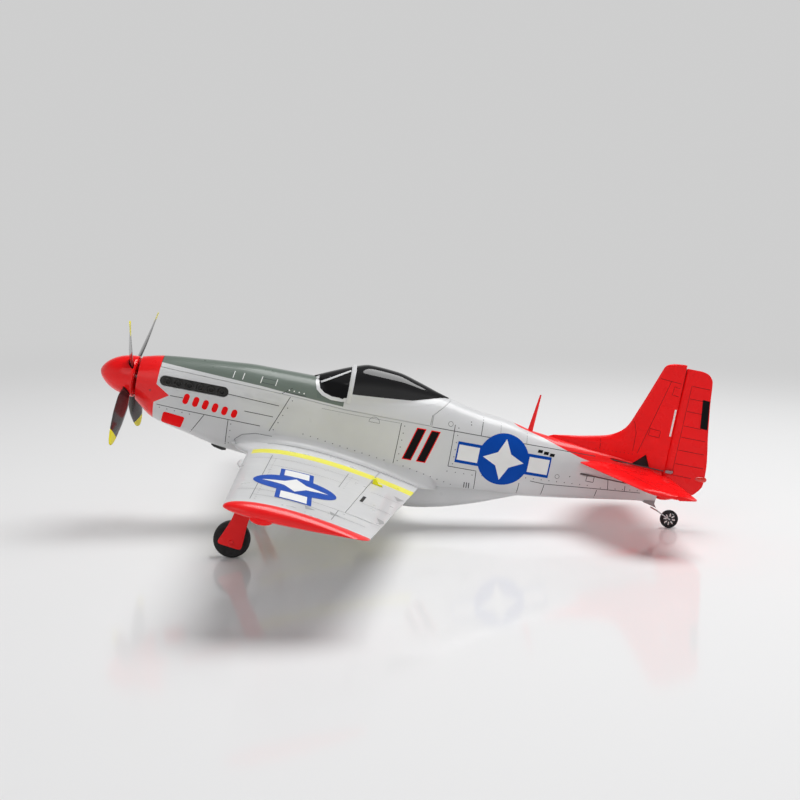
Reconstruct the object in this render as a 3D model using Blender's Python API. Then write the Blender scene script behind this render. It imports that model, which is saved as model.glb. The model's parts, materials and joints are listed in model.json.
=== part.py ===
"""Foam radio-controlled warbird on its three wheels.

Shapes are drawn in millimetres in the airframe's own frame: x runs aft from the
spinner tip, y to the aeroplane's right, z up from the thrust line. An empty called
airframe pitches everything nose up, until all three wheels stand on the floor.
"""
import math

import bmesh
import bpy
from mathutils import Matrix, Vector

MM = 0.001
GAP = 0.3                 # clearance between neighbouring pieces
WALL = 3.5                # foam wall of the fuselage
HALF_SPAN = 280.2
DEFLECTION = 20.0         # degrees of aileron, elevator and rudder travel

# Fuselage lines: (station, value)
TOP = [(29, 16.2), (46.7, 20.4), (77, 23.6), (96, 25.2), (122, 27.0), (165, 27.0), (210, 28.0),
       (245, 29.2), (268, 29.6), (287, 26.3), (302, 23.4), (320, 21.4), (335, 18.7), (344, 16.4),
       (362, 14.4), (385, 12.4), (420, 9.4), (448, 7.0), (460, 6.2)]
BOTTOM = [(29, -16.2), (46.7, -29.4), (77, -36.9), (96, -41.3), (122, -44.4), (165, -47.8),
          (210, -49.3), (250, -48.0), (290, -43.5), (320, -40.2), (343, -37.6), (375, -33.4),
          (410, -28.2), (447, -23.2), (460, -22.4)]
HALF_WIDTH = [(29, 16.2), (46.7, 18.0), (77, 19.4), (122, 21.0), (165, 22.0), (210, 22.4),
              (250, 22.0), (290, 20.6), (320, 18.8), (343, 17.0), (375, 13.7), (410, 9.5),
              (447, 5.2), (460, 4.2)]
WAIST = [(29, 0.0), (77, -5.0), (122, -8.0), (210, -9.0), (290, -9.0), (343, -8.0), (460, -6.0)]
SQUARENESS = [(29, 2.0), (60, 2.15), (122, 2.35), (200, 2.5), (290, 2.3), (460, 2.1)]
NOSE_RING, TAIL_POST = 31.2, 455.2

# Wing
WING_LE, WING_LE_SLOPE = 126.3, 0.0022
WING_TE, WING_TE_SLOPE = 266.3, 0.188
WING_Z, DIHEDRAL = -38.5, 0.0473
INCIDENCE = math.radians(2.64)
WING_UPPER, WING_LOWER = 0.0754, 0.036
GLOVE, GLOVE_END, GLOVE_FADE = 11.5, 22.0, 28.0
FAIRING_NOSE, FAIRING_TAIL = 111.0, 277.0
TIP_START = 271.5
AILERON_IN, AILERON_OUT = 69.5, 226.0
HINGE_X, HINGE_SLOPE = 233.4, 0.1479
BEVEL = math.radians(13.0)
SPAR_X, SPAR_Z = 169.5, -34.6

# Canopy
CANOPY_TOP = [(165.4, 27.4), (181, 34.6), (195.7, 40.5), (208, 43.8), (230, 42.4), (249, 37.5),
              (263, 33.0), (274.5, 29.6)]
CANOPY_HALF = [(165.4, 0.6), (169, 9.4), (174, 14.0), (183, 17.8), (192, 18.9), (205, 18.9),
               (220, 18.0), (238, 15.4), (252, 11.9), (264, 7.2), (274.5, 0.5)]
CANOPY_SILL = [(165.4, 26.4), (169, 20.5), (174, 16.2), (183, 13.8), (192, 15.2), (198, 19.6),
               (246, 24.2), (274.5, 29.0)]

# Hatch seam in side view
HATCH_SEAM = [(47.6, 13.2), (126, 11.3), (158, 10.1), (192, 7.9), (263, 7.6), (263, 16.2), (277.8, 31)]

# Belly scoop
SCOOP_BOTTOM = [(212, -59.0), (222, -61.8), (240, -62.6), (257, -62.3), (279, -58.8), (307, -50.7),
                (343, -36.8)]
SCOOP_HALF = [(212, 13.6), (257, 14.0), (307, 12.2), (343, 8.0)]

# Tail
HINGE = 459.5             # rudder hinge line
FIN_LE = [(12.0, 356.0), (16.0, 361.0), (19.5, 383.0), (25.6, 409.0), (34.1, 419.7), (47.9, 425.5),
          (87.0, 439.4)]
FIN_TOP = 91.5
RUDDER_TE = [(-19.0, 464.0), (-15.0, 476.0), (-9.8, 486.2), (-0.9, 491.4), (6.7, 491.3),
             (42.8, 485.6), (66.3, 482.0), (78.0, 480.6), (84.7, 478.4), (89.0, 472.5)]
ELEVATOR_HINGE = 446.0
ELEVATOR_TE = 460.4
STAB_HALF_SPAN = 95.5
ELEVATOR_IN = 9.6

# Running gear
MAIN_AXLE = (128.9, 96.9, -89.4)
MAIN_RADIUS, MAIN_WIDTH = 13.4, 8.0
LEG_TOP = (139.5, 103.7, -33.0)
TAIL_AXLE = (470.3, 0.0, -33.9)
TAIL_RADIUS, TAIL_WIDTH = 7.3, 3.5

# Propeller
SPINNER_LENGTH, SPINNER_RADIUS = 28.8, 16.3
PROP_RADIUS, PROP_X, PROP_RAKE = 66.3, 24.6, 2.4
RIGHT_THRUST = math.radians(4.5)   # the motor points a little to the right
THRUST_PIVOT = (29.0, 0.0, 0.0)
# Blade stations: radius, chord, pitch in degrees
BLADE = [(4.0, 6.0, 28), (10.0, 7.0, 28), (15.0, 8.6, 28), (20.0, 12.4, 28), (28.0, 15.2, 27),
         (40.0, 15.4, 24), (51.0, 13.4, 21), (59.0, 10.8, 19), (64.0, 7.2, 18), (66.3, 3.6, 17)]

# Servo linkage
ARM_LENGTH = 8.0
TORQUE_ARM_TOP = -27.0
RUDDER_HORN_TIP = Vector((455.0, -7.0, 4.9))
ELEVATOR_HORN_TIP = Vector((443.0, -15.5, -9.5))
SERVO_X = 300.0
SERVO_PIVOT = Vector((196.0, 0.0, -29.6))
LINK_Y, LINK_Z = 8.4, -27.9
ELEVATOR_PIVOT = Vector((SERVO_X, -2.3, -16.0))
RUDDER_PIVOT = Vector((SERVO_X, 1.6, 1.0))


def smooth(table, x):
    """Monotone cubic curve through the table's points."""
    xs = [p[0] for p in table]
    vs = [p[1] for p in table]
    if x <= xs[0]:
        return vs[0]
    if x >= xs[-1]:
        return vs[-1]
    slope = [(vs[i + 1] - vs[i]) / (xs[i + 1] - xs[i]) for i in range(len(xs) - 1)]
    tangent = [slope[0]]
    for before, after in zip(slope, slope[1:]):
        tangent.append(0.0 if before * after <= 0 else 2 * before * after / (before + after))
    tangent.append(slope[-1])
    i = next(k for k in range(len(xs) - 1) if x <= xs[k + 1])
    h = xs[i + 1] - xs[i]
    t = (x - xs[i]) / h
    return (vs[i] * (1 + 2 * t) * (1 - t) ** 2 + tangent[i] * h * t * (1 - t) ** 2
            + vs[i + 1] * t * t * (3 - 2 * t) + tangent[i + 1] * h * t * t * (t - 1))


def ramp(x, low, high):
    t = min(1.0, max(0.0, (x - low) / (high - low)))
    return t * t * (3 - 2 * t)


def material(name, colour, roughness, metallic=0.0):
    found = bpy.data.materials.get(name)
    if found:
        return found
    made = bpy.data.materials.new(name)
    made.use_nodes = True
    shader = made.node_tree.nodes["Principled BSDF"]
    shader.inputs["Base Color"].default_value = (*colour, 1.0)
    shader.inputs["Roughness"].default_value = roughness
    shader.inputs["Metallic"].default_value = metallic
    return made


SILVER = ("silver_foam", (0.62, 0.63, 0.64), 0.45)
RED = ("red_foam", (0.80, 0.02, 0.02), 0.4)
OLIVE = ("olive_foam", (0.16, 0.21, 0.18), 0.5)
SMOKE = ("smoked_plastic", (0.02, 0.02, 0.02), 0.1)
BLACK = ("black_plastic", (0.02, 0.02, 0.02), 0.35)
WHITE = ("white_plastic", (0.85, 0.85, 0.85), 0.4)
YELLOW = ("yellow_plastic", (0.85, 0.75, 0.02), 0.4)
GREY = ("grey_plastic", (0.35, 0.36, 0.37), 0.45)
TYRE = ("black_foam_tyre", (0.02, 0.02, 0.02), 0.8)
STEEL = ("steel_wire", (0.6, 0.6, 0.62), 0.25, 1.0)
ALLOY = ("motor_alloy", (0.5, 0.5, 0.52), 0.35, 1.0)
CARBON = ("carbon_tube", (0.03, 0.03, 0.03), 0.3)
BATTERY = ("battery_wrap", (0.05, 0.08, 0.30), 0.35)
BOARD = ("circuit_board", (0.02, 0.16, 0.06), 0.4)


# ---------------------------------------------------------------- mesh helpers
def add_object(name, bm, finish=None):
    bmesh.ops.remove_doubles(bm, verts=bm.verts, dist=0.0005)
    bmesh.ops.recalc_face_normals(bm, faces=bm.faces)
    mesh = bpy.data.meshes.new(name)
    bm.to_mesh(mesh)
    bm.free()
    obj = bpy.data.objects.new(name, mesh)
    bpy.context.scene.collection.objects.link(obj)
    if finish:
        mesh.materials.append(material(*finish))
    return obj


def loft(name, rings, finish=None):
    """Closed solid through rings of equal point count, with flat end caps."""
    bm = bmesh.new()
    rows = [[bm.verts.new(p) for p in ring] for ring in rings]
    count = len(rows[0])
    for a, b in zip(rows, rows[1:]):
        for i in range(count):
            j = (i + 1) % count
            bm.faces.new((a[i], a[j], b[j], b[i]))
    bm.faces.new(rows[0])
    bm.faces.new(rows[-1])
    return add_object(name, bm, finish)


def prism(name, outline, axis, low, high, finish=None):
    """Outline of 2-D points pushed along axis x, y or z from low to high."""
    def place(p, h):
        u, v = p
        return {"x": (h, u, v), "y": (u, h, v), "z": (u, v, h)}[axis]
    return loft(name, [[place(p, h) for p in outline] for h in (low, high)], finish)


def box(name, low, high, finish=None):
    outline = [(low[0], low[1]), (high[0], low[1]), (high[0], high[1]), (low[0], high[1])]
    return prism(name, outline, "z", low[2], high[2], finish)


def turned(name, profile, centre, axis, steps=28, finish=None):
    """Profile of (along, radius) points turned about an axis through centre."""
    direction = Vector(axis).normalized()
    side = direction.orthogonal().normalized()
    up = direction.cross(side)
    bm = bmesh.new()
    rows = []
    for along, radius in profile:
        base = Vector(centre) + direction * along
        if radius == 0:
            rows.append([bm.verts.new(base)])
            continue
        turns = [2 * math.pi * k / steps for k in range(steps)]
        rows.append([bm.verts.new(base + (side * math.cos(a) + up * math.sin(a)) * radius)
                     for a in turns])
    closed = profile[0] == profile[-1]
    if closed:
        rows[-1] = rows[0]
    for a, b in zip(rows, rows[1:]):
        for k in range(steps):
            m = (k + 1) % steps
            if len(a) == 1:
                bm.faces.new((a[0], b[k], b[m]))
            elif len(b) == 1:
                bm.faces.new((a[k], a[m], b[0]))
            else:
                bm.faces.new((a[k], a[m], b[m], b[k]))
    if not closed:
        for row in (rows[0], rows[-1]):
            if len(row) > 1:
                bm.faces.new(row)
    return add_object(name, bm, finish)


def rod(name, points, radius, sides=10, finish=None):
    """Round wire through points, its ends square."""
    points = [Vector(p) for p in points]
    ahead = (points[1] - points[0]).normalized()
    side = ahead.orthogonal().normalized()
    rings = []
    for i, point in enumerate(points):
        before = (point - points[i - 1]).normalized() if i else ahead
        after = (points[i + 1] - point).normalized() if i + 1 < len(points) else before
        mean = (before + after).normalized()
        side = (side - mean * side.dot(mean)).normalized()
        up = mean.cross(side)
        stretch = 1 / max(0.5, mean.dot(after))
        turns = [2 * math.pi * k / sides for k in range(sides)]
        rings.append([point + (side * math.cos(a) + up * math.sin(a)) * radius * stretch
                      for a in turns])
    return loft(name, rings, finish)


def bent(points, radius, steps=4):
    """Corner points with each inner corner rounded to an arc."""
    points = [Vector(p) for p in points]
    path = [points[0]]
    for before, corner, after in zip(points, points[1:], points[2:]):
        a = corner + (before - corner).normalized() * radius
        b = corner + (after - corner).normalized() * radius
        for k in range(steps + 1):
            t = k / steps
            path.append(a * (1 - t) ** 2 + corner * 2 * t * (1 - t) + b * t * t)
    return path + [points[-1]]


def boolean(body, tool, operation="DIFFERENCE", keep=False):
    change = body.modifiers.new(operation.lower(), "BOOLEAN")
    change.operation = operation
    change.solver = "EXACT"
    change.object = tool
    graph = bpy.context.evaluated_depsgraph_get()
    mesh = bpy.data.meshes.new_from_object(body.evaluated_get(graph))
    body.modifiers.clear()
    old = body.data
    finish = list(old.materials)
    body.data = mesh
    mesh.materials.clear()
    for entry in finish[:1]:
        mesh.materials.append(entry)
    bpy.data.meshes.remove(old)
    if not keep:
        bpy.data.objects.remove(tool)
    return body


def rounded(obj, width, segments=1, angle=50):
    edge = obj.modifiers.new("soft_edges", "BEVEL")
    edge.width = width * MM
    edge.segments = segments
    edge.limit_method = "ANGLE"
    edge.angle_limit = math.radians(angle)
    return obj


# ---------------------------------------------------------------- fuselage
def fuselage_ring(x, grow=0.0, count=32):
    top = smooth(TOP, x) + grow
    bottom = smooth(BOTTOM, x) - grow
    half = smooth(HALF_WIDTH, x) + grow
    waist = smooth(WAIST, x)
    power = 2 / smooth(SQUARENESS, x)
    ring = []
    for k in range(count):
        turn = 2 * math.pi * k / count
        s, c = math.sin(turn), math.cos(turn)
        height = top - waist if c > 0 else waist - bottom
        ring.append(Vector((x, half * math.copysign(abs(s) ** power, s),
                            waist + height * math.copysign(abs(c) ** power, c))))
    return ring


def fuselage_body(name, first, last, step, grow=0.0, count=32, finish=None):
    amount = round((last - first) / step)
    stations = [first + (last - first) * k / amount for k in range(amount + 1)]
    return loft(name, [fuselage_ring(x, grow, count) for x in stations], finish)


def outside(grow=GAP):
    """Fuselage shape grown by a gap, to seat other pieces on it."""
    return fuselage_body("fuselage_outside", NOSE_RING - 1, TAIL_POST + 1, 12.0, grow, 32)


def hatch_zone(shrink):
    """Side-view region of the hatch, pulled in from its seam by shrink."""
    seam = [(x, z + shrink) for x, z in HATCH_SEAM]
    seam[0] = (seam[0][0] + shrink, seam[0][1])
    seam[4] = (seam[4][0] - shrink, seam[4][1])
    seam[5] = (seam[5][0] - shrink, seam[5][1])
    outline = seam + [(seam[-1][0] - shrink, 60.0), (seam[0][0], 60.0)]
    return prism("hatch_zone", outline, "y", -40.0, 40.0)


def fairing_swell(x):
    """Share of the root fairing's full section: 1 along the wing, 0 at its two points."""
    reach = max((FAIRING_NOSE + 22.0 - x) / 22.0, (x - FAIRING_TAIL + 21.0) / 21.0, 0.0)
    return math.sqrt(max(0.0, 1 - reach * reach))


def wing_fillet(side):
    """Concave root fairing from the fuselage side down to the wing's upper skin."""
    rings = []
    for k in range(15):
        share = (1 - math.cos(math.pi * (0.04 + 0.92 * k / 14))) / 2
        x = FAIRING_NOSE + (FAIRING_TAIL - FAIRING_NOSE) * share
        swell = fairing_swell(x)
        reach = 25.0 + 3.5 * math.sin(math.pi * share)
        on_wing = min(max(x, 130.0), 262.0)
        skin = wing_height(on_wing, reach, 1) + 0.9
        core = chord_plane(on_wing, reach)
        inner = smooth(HALF_WIDTH, x) - 2.5
        rise = 11.0 + 4.0 * math.sin(math.pi * share)
        curve = []
        for m in range(6):
            t = m / 5
            y = inner * (1 - t) ** 2 + (inner + 1.5) * 2 * t * (1 - t) + reach * t * t
            z = (skin + rise) * (1 - t) ** 2 + (skin + 0.8) * 2 * t * (1 - t) + skin * t * t
            curve.append((y, z))
        curve += [(reach, core), (inner - 5, core), (inner - 5, skin + rise)]
        rings.append([(x, side * (inner - 5 + (y - inner + 5) * swell), core + (z - core) * swell)
                      for y, z in curve])
    return loft("wing_fillet", rings)


def exhaust_outline(shrink=0.0):
    """Stadium of the exhaust opening in side view."""
    low, high, middle, radius = 52.9, 98.8, 3.6, 4.0 - shrink
    points = []
    for k in range(7):
        a = math.pi / 2 + math.pi * k / 6
        points.append((low + radius * math.cos(a), middle + radius * math.sin(a)))
    for k in range(7):
        a = -math.pi / 2 + math.pi * k / 6
        points.append((high + radius * math.cos(a), middle + radius * math.sin(a)))
    return points


def rudder_rod_line():
    direction = Vector((-1.0, 0.045, 0.0265))
    return RUDDER_HORN_TIP, RUDDER_HORN_TIP + direction * (RUDDER_HORN_TIP.x - SERVO_X)


def elevator_rod_line():
    direction = Vector((-1.0, 0.083, 0.0105))
    return ELEVATOR_HORN_TIP, ELEVATOR_HORN_TIP + direction * (ELEVATOR_HORN_TIP.x - SERVO_X)


def fuselage_half(name, side):
    body = fuselage_body(name, NOSE_RING, TAIL_POST, 14.6, 0.0, 28, SILVER)
    boolean(body, wing_fillet(side), "UNION")
    keep_side = box("side", (0, GAP / 2, -90), (520, 90, 60)) if side > 0 else \
        box("side", (0, -90, -90), (520, -GAP / 2, 60))
    boolean(body, keep_side, "INTERSECT")
    boolean(body, fuselage_body("cavity", 37.5, 376.0, 17.8, -WALL, 20))
    boolean(body, turned("motor_opening", [(-5, 10.2), (12, 10.2)], (29, 0, 0), (1, 0, 0), 24))
    boolean(body, hatch_zone(-GAP / 2))
    boolean(body, wing_panel("wing_space", side, GAP, True))
    boolean(body, stabilizer_body("stab_space", GAP))
    depth = smooth(HALF_WIDTH, 75.0) - 3.0
    low, high = (depth, 40.0) if side > 0 else (-40.0, -depth)
    boolean(body, prism("exhaust_space", exhaust_outline(), "y", low, high))
    joiner = rod("joiner_space", [(ELEVATOR_HINGE, -20, 0), (ELEVATOR_HINGE, 20, 0)], 1.3, 12)
    boolean(body, joiner)
    if side < 0:
        start, end = elevator_rod_line()
        boolean(body, rod("elevator_rod_space", [start, end], 1.3, 10))
        start, end = rudder_rod_line()
        boolean(body, rod("rudder_rod_space", [start + (start - end).normalized() * 9, end], 1.3, 10))
        boolean(body, rod_window())
    return body


def rod_window():
    """Triangular opening in the left side of the fin root for the rudder rod."""
    outline = [(428.5, 5.2), (439.2, 15.1), (444.2, 4.6)]
    return prism("rod_window", outline, "y", -14.0, -1.4)


def hatch():
    deck = fuselage_body("hatch_deck", NOSE_RING, TAIL_POST, 14.6, 0.0, 28, OLIVE)
    boolean(deck, fuselage_body("cavity", 37.5, 376.0, 17.8, -WALL, 20))
    boolean(deck, hatch_zone(GAP / 2), "INTERSECT")
    return deck


# ---------------------------------------------------------------- canopy
def canopy_ring(x, grow=0.0):
    half = smooth(CANOPY_HALF, x) + grow
    sill = smooth(CANOPY_SILL, x)
    height = smooth(CANOPY_TOP, x) - sill + grow
    skirt = 9.0
    ring = [Vector((x, -half, sill - skirt))]
    for k in range(13):
        turn = math.pi * k / 12
        y = -math.cos(turn)
        z = math.sin(turn) ** 0.86
        ring.append(Vector((x, half * y, sill + height * z)))
    ring.append(Vector((x, half, sill - skirt)))
    return ring


def canopy_body(name, grow=0.0, finish=None):
    stations = [165.6, 167.2, 170.0, 175.0, 182.0, 189.0, 196.0, 204.0, 214.0, 226.0, 238.0, 250.0,
                261.0, 269.0, 274.0]
    return loft(name, [canopy_ring(x, grow) for x in stations], finish)


def canopy():
    glass = canopy_body("canopy_glass", 0.0, SMOKE)
    boolean(glass, outside())
    inner = loft("canopy_inside", [canopy_ring(x, -1.3) for x in range(176, 264, 8)])
    boolean(glass, inner)
    frame = loft("canopy_bow", [canopy_ring(x, 1.0) for x in (193.6, 197.2)], SILVER)
    boolean(frame, loft("bow_space", [canopy_ring(x, 0.3) for x in (189, 193.6, 197.2, 203)]))
    boolean(frame, outside())
    return [glass, frame]


# ---------------------------------------------------------------- wing
def chord_ends(y):
    return WING_LE + WING_LE_SLOPE * y, WING_TE - WING_TE_SLOPE * y


def chord_plane(x, y):
    le, te = chord_ends(y)
    return WING_Z + DIHEDRAL * y - (x - le - 0.25 * (te - le)) * math.tan(INCIDENCE)


def wing_height(x, y, upper):
    """Height of the skin at (x, y), upper 1 or lower -1, inboard of the tip cap."""
    le, te = chord_ends(y)
    s = min(1.0, max(0.0, (x - le) / (te - le)))
    bulge = 2.6 * math.sqrt(s) * (1 - s) * (te - le)
    depth = WING_UPPER if upper > 0 else WING_LOWER
    return chord_plane(x, y) + upper * (depth * bulge + 0.35 * s)


def wing_ring(y, side, grow=0.0, count=12):
    """Wing section at span y: upper skin from trailing to leading edge, then the lower."""
    le, te = chord_ends(y)
    chord = te - le
    cap = max(0.0, (y - TIP_START) / (HALF_SPAN - TIP_START))
    thin = math.sqrt(max(0.0, 1 - cap * cap))
    front = le + 0.30 * chord * (1 - (1 - cap ** 2.6) ** 0.5)
    back = te - 0.10 * chord * (1 - (1 - cap ** 2.6) ** 0.5)
    glove = GLOVE * (1 - ramp(y, GLOVE_END, GLOVE_END + GLOVE_FADE))
    ring = []
    for upper in (1, -1):
        for k in range(count if upper > 0 else count + 1):
            turn = math.pi * k / count
            s = 0.5 + 0.5 * math.cos(turn) if upper > 0 else 0.5 - 0.5 * math.cos(turn)
            x = front + s * (back - front)
            depth = WING_UPPER if upper > 0 else WING_LOWER
            bulge = 2.6 * math.sqrt(s) * (1 - s) * (te - le) * thin
            z = chord_plane(x, y) + upper * (depth * bulge + 0.35 * s * thin + grow)
            x -= glove * max(0.0, 1 - s / 0.35) ** 2
            x += grow * (2 * s - 1)
            ring.append(Vector((x, side * y, z)))
    return ring


def wing_panel(name, side, grow=0.0, stub=False, finish=None):
    """Wing half from the centre line out; a stub ends just outside the fuselage."""
    if stub:
        spans = [-1.0, 14.0, 22.0, 29.0, 36.0, 43.0, 50.0]
    else:
        spans = [GAP / 2, 14.0, 22.0, 29.0, 36.0, 43.0, 50.0, 95.0, 140.0, 185.0, 230.0, TIP_START]
        spans += [TIP_START + (HALF_SPAN - TIP_START) * math.sin(math.radians(a))
                  for a in (18, 34, 50, 64, 76, 85)]
    return loft(name, [wing_ring(y, side, grow) for y in spans], finish)


def aileron_hinge(side):
    """Two points on the aileron's hinge axis, inner then outer."""
    ends = []
    for y in (AILERON_IN, AILERON_OUT):
        x = HINGE_X - HINGE_SLOPE * y
        ends.append(Vector((x, side * y, wing_height(x, y, 1) - 0.35)))
    return ends


def aileron_cut(name, side, offset, inner, outer):
    """Prism behind the bevelled hinge face. A positive offset cuts forward of the axis."""
    lean = math.tan(BEVEL)
    rings = []
    for y in (inner, outer):
        x = HINGE_X - HINGE_SLOPE * y - offset
        z = wing_height(x, y, 1) - 0.35
        up, down = 15.0, 25.0
        toe = x - lean * down if offset > 0 else x + lean * down
        rings.append([(x, side * y, z + up), (x, side * y, z), (toe, side * y, z - down),
                      (x + 90, side * y, z - down), (x + 90, side * y, z + up)])
    return loft(name, rings)


def torque_rod_line(side):
    inner, outer = aileron_hinge(side)
    ahead = (outer - inner).normalized()
    reach = (abs(inner.y) - 10.0) / abs(ahead.y)
    return inner - ahead * reach, inner + ahead * 14.0


def aileron_parts(word, side):
    body = loft("aileron_" + word, [wing_ring(y, side) for y in
                (AILERON_IN, 110.0, 150.0, 190.0, AILERON_OUT)], SILVER)
    boolean(body, aileron_cut("hinge_face", side, -0.2, 60.0, 240.0), "INTERSECT")
    root, tip = torque_rod_line(side)
    arm_top = Vector((root.x, root.y, TORQUE_ARM_TOP))
    boolean(body, rod_space("rod_space", side, tip))
    wire = rod("torque_rod_" + word, bent([arm_top, root, tip], 1.6), 0.6, 8, STEEL)
    horn = aileron_horn(word, side)
    boolean(body, horn_space(side))
    return [body, wire, horn]


def rod_space(name, side, tip):
    """Slot in the aileron's face that takes the end of the torque rod."""
    low = min(side * (AILERON_IN - 1), side * (abs(tip.y) + 0.6))
    high = max(side * (AILERON_IN - 1), side * (abs(tip.y) + 0.6))
    return box(name, (tip.x - 4, low, tip.z - 1.2), (tip.x + 3.6, high, tip.z + 4))


def horn_outline():
    return [(2.2, -1.4), (8.5, -1.0), (8.5, 0.7), (5.6, 1.1), (3.2, 4.6), (1.2, 4.6), (1.2, 0.8)]


def aileron_horn(word, side):
    """Small plastic horn on top of the aileron, over the hinge's inner end."""
    inner, _ = aileron_hinge(side)
    y = side * (AILERON_IN + 16.5)
    base = Vector((HINGE_X - HINGE_SLOPE * abs(y), y, 0))
    base.z = wing_height(base.x + 5, abs(y), 1)
    outline = [(base.x + u, base.z + v) for u, v in horn_outline()]
    low, high = sorted((y, y + side * 3.2))
    return prism("aileron_horn_" + word, outline, "y", low, high, YELLOW)


def horn_space(side):
    y = side * (AILERON_IN + 16.5)
    x = HINGE_X - HINGE_SLOPE * abs(y)
    z = wing_height(x + 5, abs(y), 1)
    low, high = sorted((y - side * 0.3, y + side * 3.5))
    return box("horn_space", (x - 1.0, low, z - 1.8), (x + 8.9, high, z + 6))


def wing_parts(word, side):
    body = wing_panel("wing_" + word, side, 0.0, False, SILVER)
    boolean(body, aileron_cut("aileron_space", side, 0.2, AILERON_IN - 0.4, AILERON_OUT + 0.4))
    root, tip = torque_rod_line(side)
    tunnel = [root - (tip - root).normalized() * 3, tip]
    boolean(body, rod("torque_space", tunnel, 1.3, 8))
    low, high = sorted((side * 8.2, side * 11.6))
    boolean(body, box("arm_space", (root.x - 6.5, low, root.z - 1.3), (root.x + 6.5, high, 0)))
    boolean(body, box("servo_space", (185.4, -4.8, -46.0), (206.6, 4.8, -20.0)))
    boolean(body, box("arm_sweep", (188.5, -11.0, -30.6), (203.5, 11.0, -20.0)))
    spar = [(SPAR_X, -61.0, SPAR_Z), (SPAR_X, 61.0, SPAR_Z)]
    boolean(body, rod("spar_space", spar, 2.35, 12))
    x, y, z = MAIN_AXLE
    leg_top = [(LEG_TOP[0], side * LEG_TOP[1], LEG_TOP[2] + 0.4), (x, side * (y + 6.8), z)]
    boolean(body, rod("leg_space", leg_top, 1.35, 10))
    return body


# ---------------------------------------------------------------- tail
def fin_half_thickness(z):
    return 3.7 - 1.7 * min(1.0, max(0.0, z / FIN_TOP))


def fin_front(z):
    table = [(h, x) for h, x in FIN_LE]
    front = smooth(table, z)
    over = max(0.0, z - 86.0) / (FIN_TOP - 86.0)
    return front + 14.0 * (1 - math.sqrt(max(0.0, 1 - min(1.0, over) ** 2)))


def fin_ring(z):
    front = fin_front(z)
    back = TAIL_POST + 1.2
    half = fin_half_thickness(z)
    ring = []
    for k in range(8):
        u = (k / 7) ** 1.7
        x = front + (back - front) * u
        ring.append((x, half * math.sin(math.pi / 2 * min(1.0, (u / 0.45))) ** 0.7 + 0.12))
    return [Vector((x, y, z)) for x, y in ring] + [Vector((x, -y, z)) for x, y in reversed(ring)]


def rudder_nose(z):
    return fin_half_thickness(z) - 0.25


def fin():
    levels = [4.0, 12.0, 15.0, 17.5, 20.0, 24.0, 29.0, 34.0, 41.0, 50.0, 60.0, 70.0, 80.0, 86.0,
              88.5, 90.3, FIN_TOP]
    body = loft("fin", [fin_ring(z) for z in levels], RED)
    groove = loft("rudder_groove", [hinge_ring(z, rudder_nose(z) + 0.4) for z in (-30.0, 20.0, 100.0)])
    boolean(body, groove)
    boolean(body, outside())
    boolean(body, stabilizer_body("stab_space", GAP))
    boolean(body, rod_window())
    start, end = rudder_rod_line()
    boolean(body, rod("rudder_rod_space", [start + (start - end).normalized() * 9, end], 1.3, 10))
    return body


def hinge_ring(z, radius):
    return [Vector((HINGE + radius * math.cos(2 * math.pi * k / 20),
                    radius * math.sin(2 * math.pi * k / 20), z)) for k in range(20)]


def rudder_ring(z):
    nose = rudder_nose(z)
    back = smooth([(h, x) for h, x in RUDDER_TE], z)
    ring = []
    for k in range(6):
        turn = math.pi - math.pi / 2 * k / 5
        ring.append((HINGE + nose * math.cos(turn), nose * math.sin(turn)))
    for k in range(1, 5):
        u = k / 4
        ring.append((HINGE + (back - HINGE) * u, nose * (1 - u) + 0.45 * u))
    upper = [Vector((x, y, z)) for x, y in ring]
    lower = [Vector((x, -y, z)) for x, y in reversed(ring[1:])]
    return upper + lower


def rudder():
    levels = [-19.0, -17.5, -15.0, -12.0, -8.0, -3.0, 3.0, 9.0, 20.0, 43.0, 66.0, 78.0, 84.0, 87.5,
              89.6]
    body = loft("rudder", [rudder_ring(z) for z in levels], RED)
    lamp = turned("tail_lamp", [(-6, 0.9), (-1, 1.7), (1.2, 1.7), (2.6, 1.2), (3.2, 0)],
                  (491.6, 0, 2.8), (1, 0, 0), 12)
    boolean(body, lamp, "UNION")
    horn_gap = box("horn_space", (456.5, -6.0, 2.6), (464.5, -2.2, 7.2))
    boolean(body, horn_gap)
    # Horn: a flat plate that leaves the rudder's left cheek and carries the rod's clevis.
    outline = [(458.7, -2.6), (463.6, -2.6), (463.6, -3.8), (460.6, -8.6), (456.3, -8.6), (456.3, -6.7),
               (458.7, -5.2)]
    horn = prism("rudder_horn", outline, "z", 4.0, 5.6, WHITE)
    return [body, horn]


def stab_ring(y, side, grow=0.0):
    u = abs(y) / STAB_HALF_SPAN
    front = 381.0 + 0.4537 * abs(y) * 0.95 + 14.5 * max(0.0, (u - 0.88) / 0.12) ** 2
    back = ELEVATOR_HINGE + 0.4
    half = 3.3 - 1.1 * u
    if u > 0.93:
        half *= math.sqrt(max(0.05, 1 - ((u - 0.93) / 0.075) ** 2))
    ring = []
    for upper in (1, -1):
        for k in range(7):
            t = k / 6
            s = 1 - t if upper > 0 else t
            s = s ** 1.6
            x = front + s * (back - front)
            z = half * math.sin(math.pi / 2 * min(1.0, s / 0.4)) ** 0.7 + 0.1 + grow
            if s == 0:
                continue
            ring.append(Vector((x, side * abs(y), upper * z)))
        if upper > 0:
            ring.append(Vector((front - grow, side * abs(y), 0.0)))
    return ring


def elevator_nose(y):
    return 2.9 - 1.1 * abs(y) / STAB_HALF_SPAN


def stabilizer_body(name, grow=0.0, finish=None):
    spans = [STAB_HALF_SPAN * u for u in (0.04, 0.2, 0.45, 0.7, 0.88, 0.93, 0.965, 0.985, 1.0)]
    rings = [stab_ring(y, -1, grow) for y in reversed(spans)]
    rings += [stab_ring(y, 1, grow) for y in spans]
    return loft(name, rings, finish)


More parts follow.
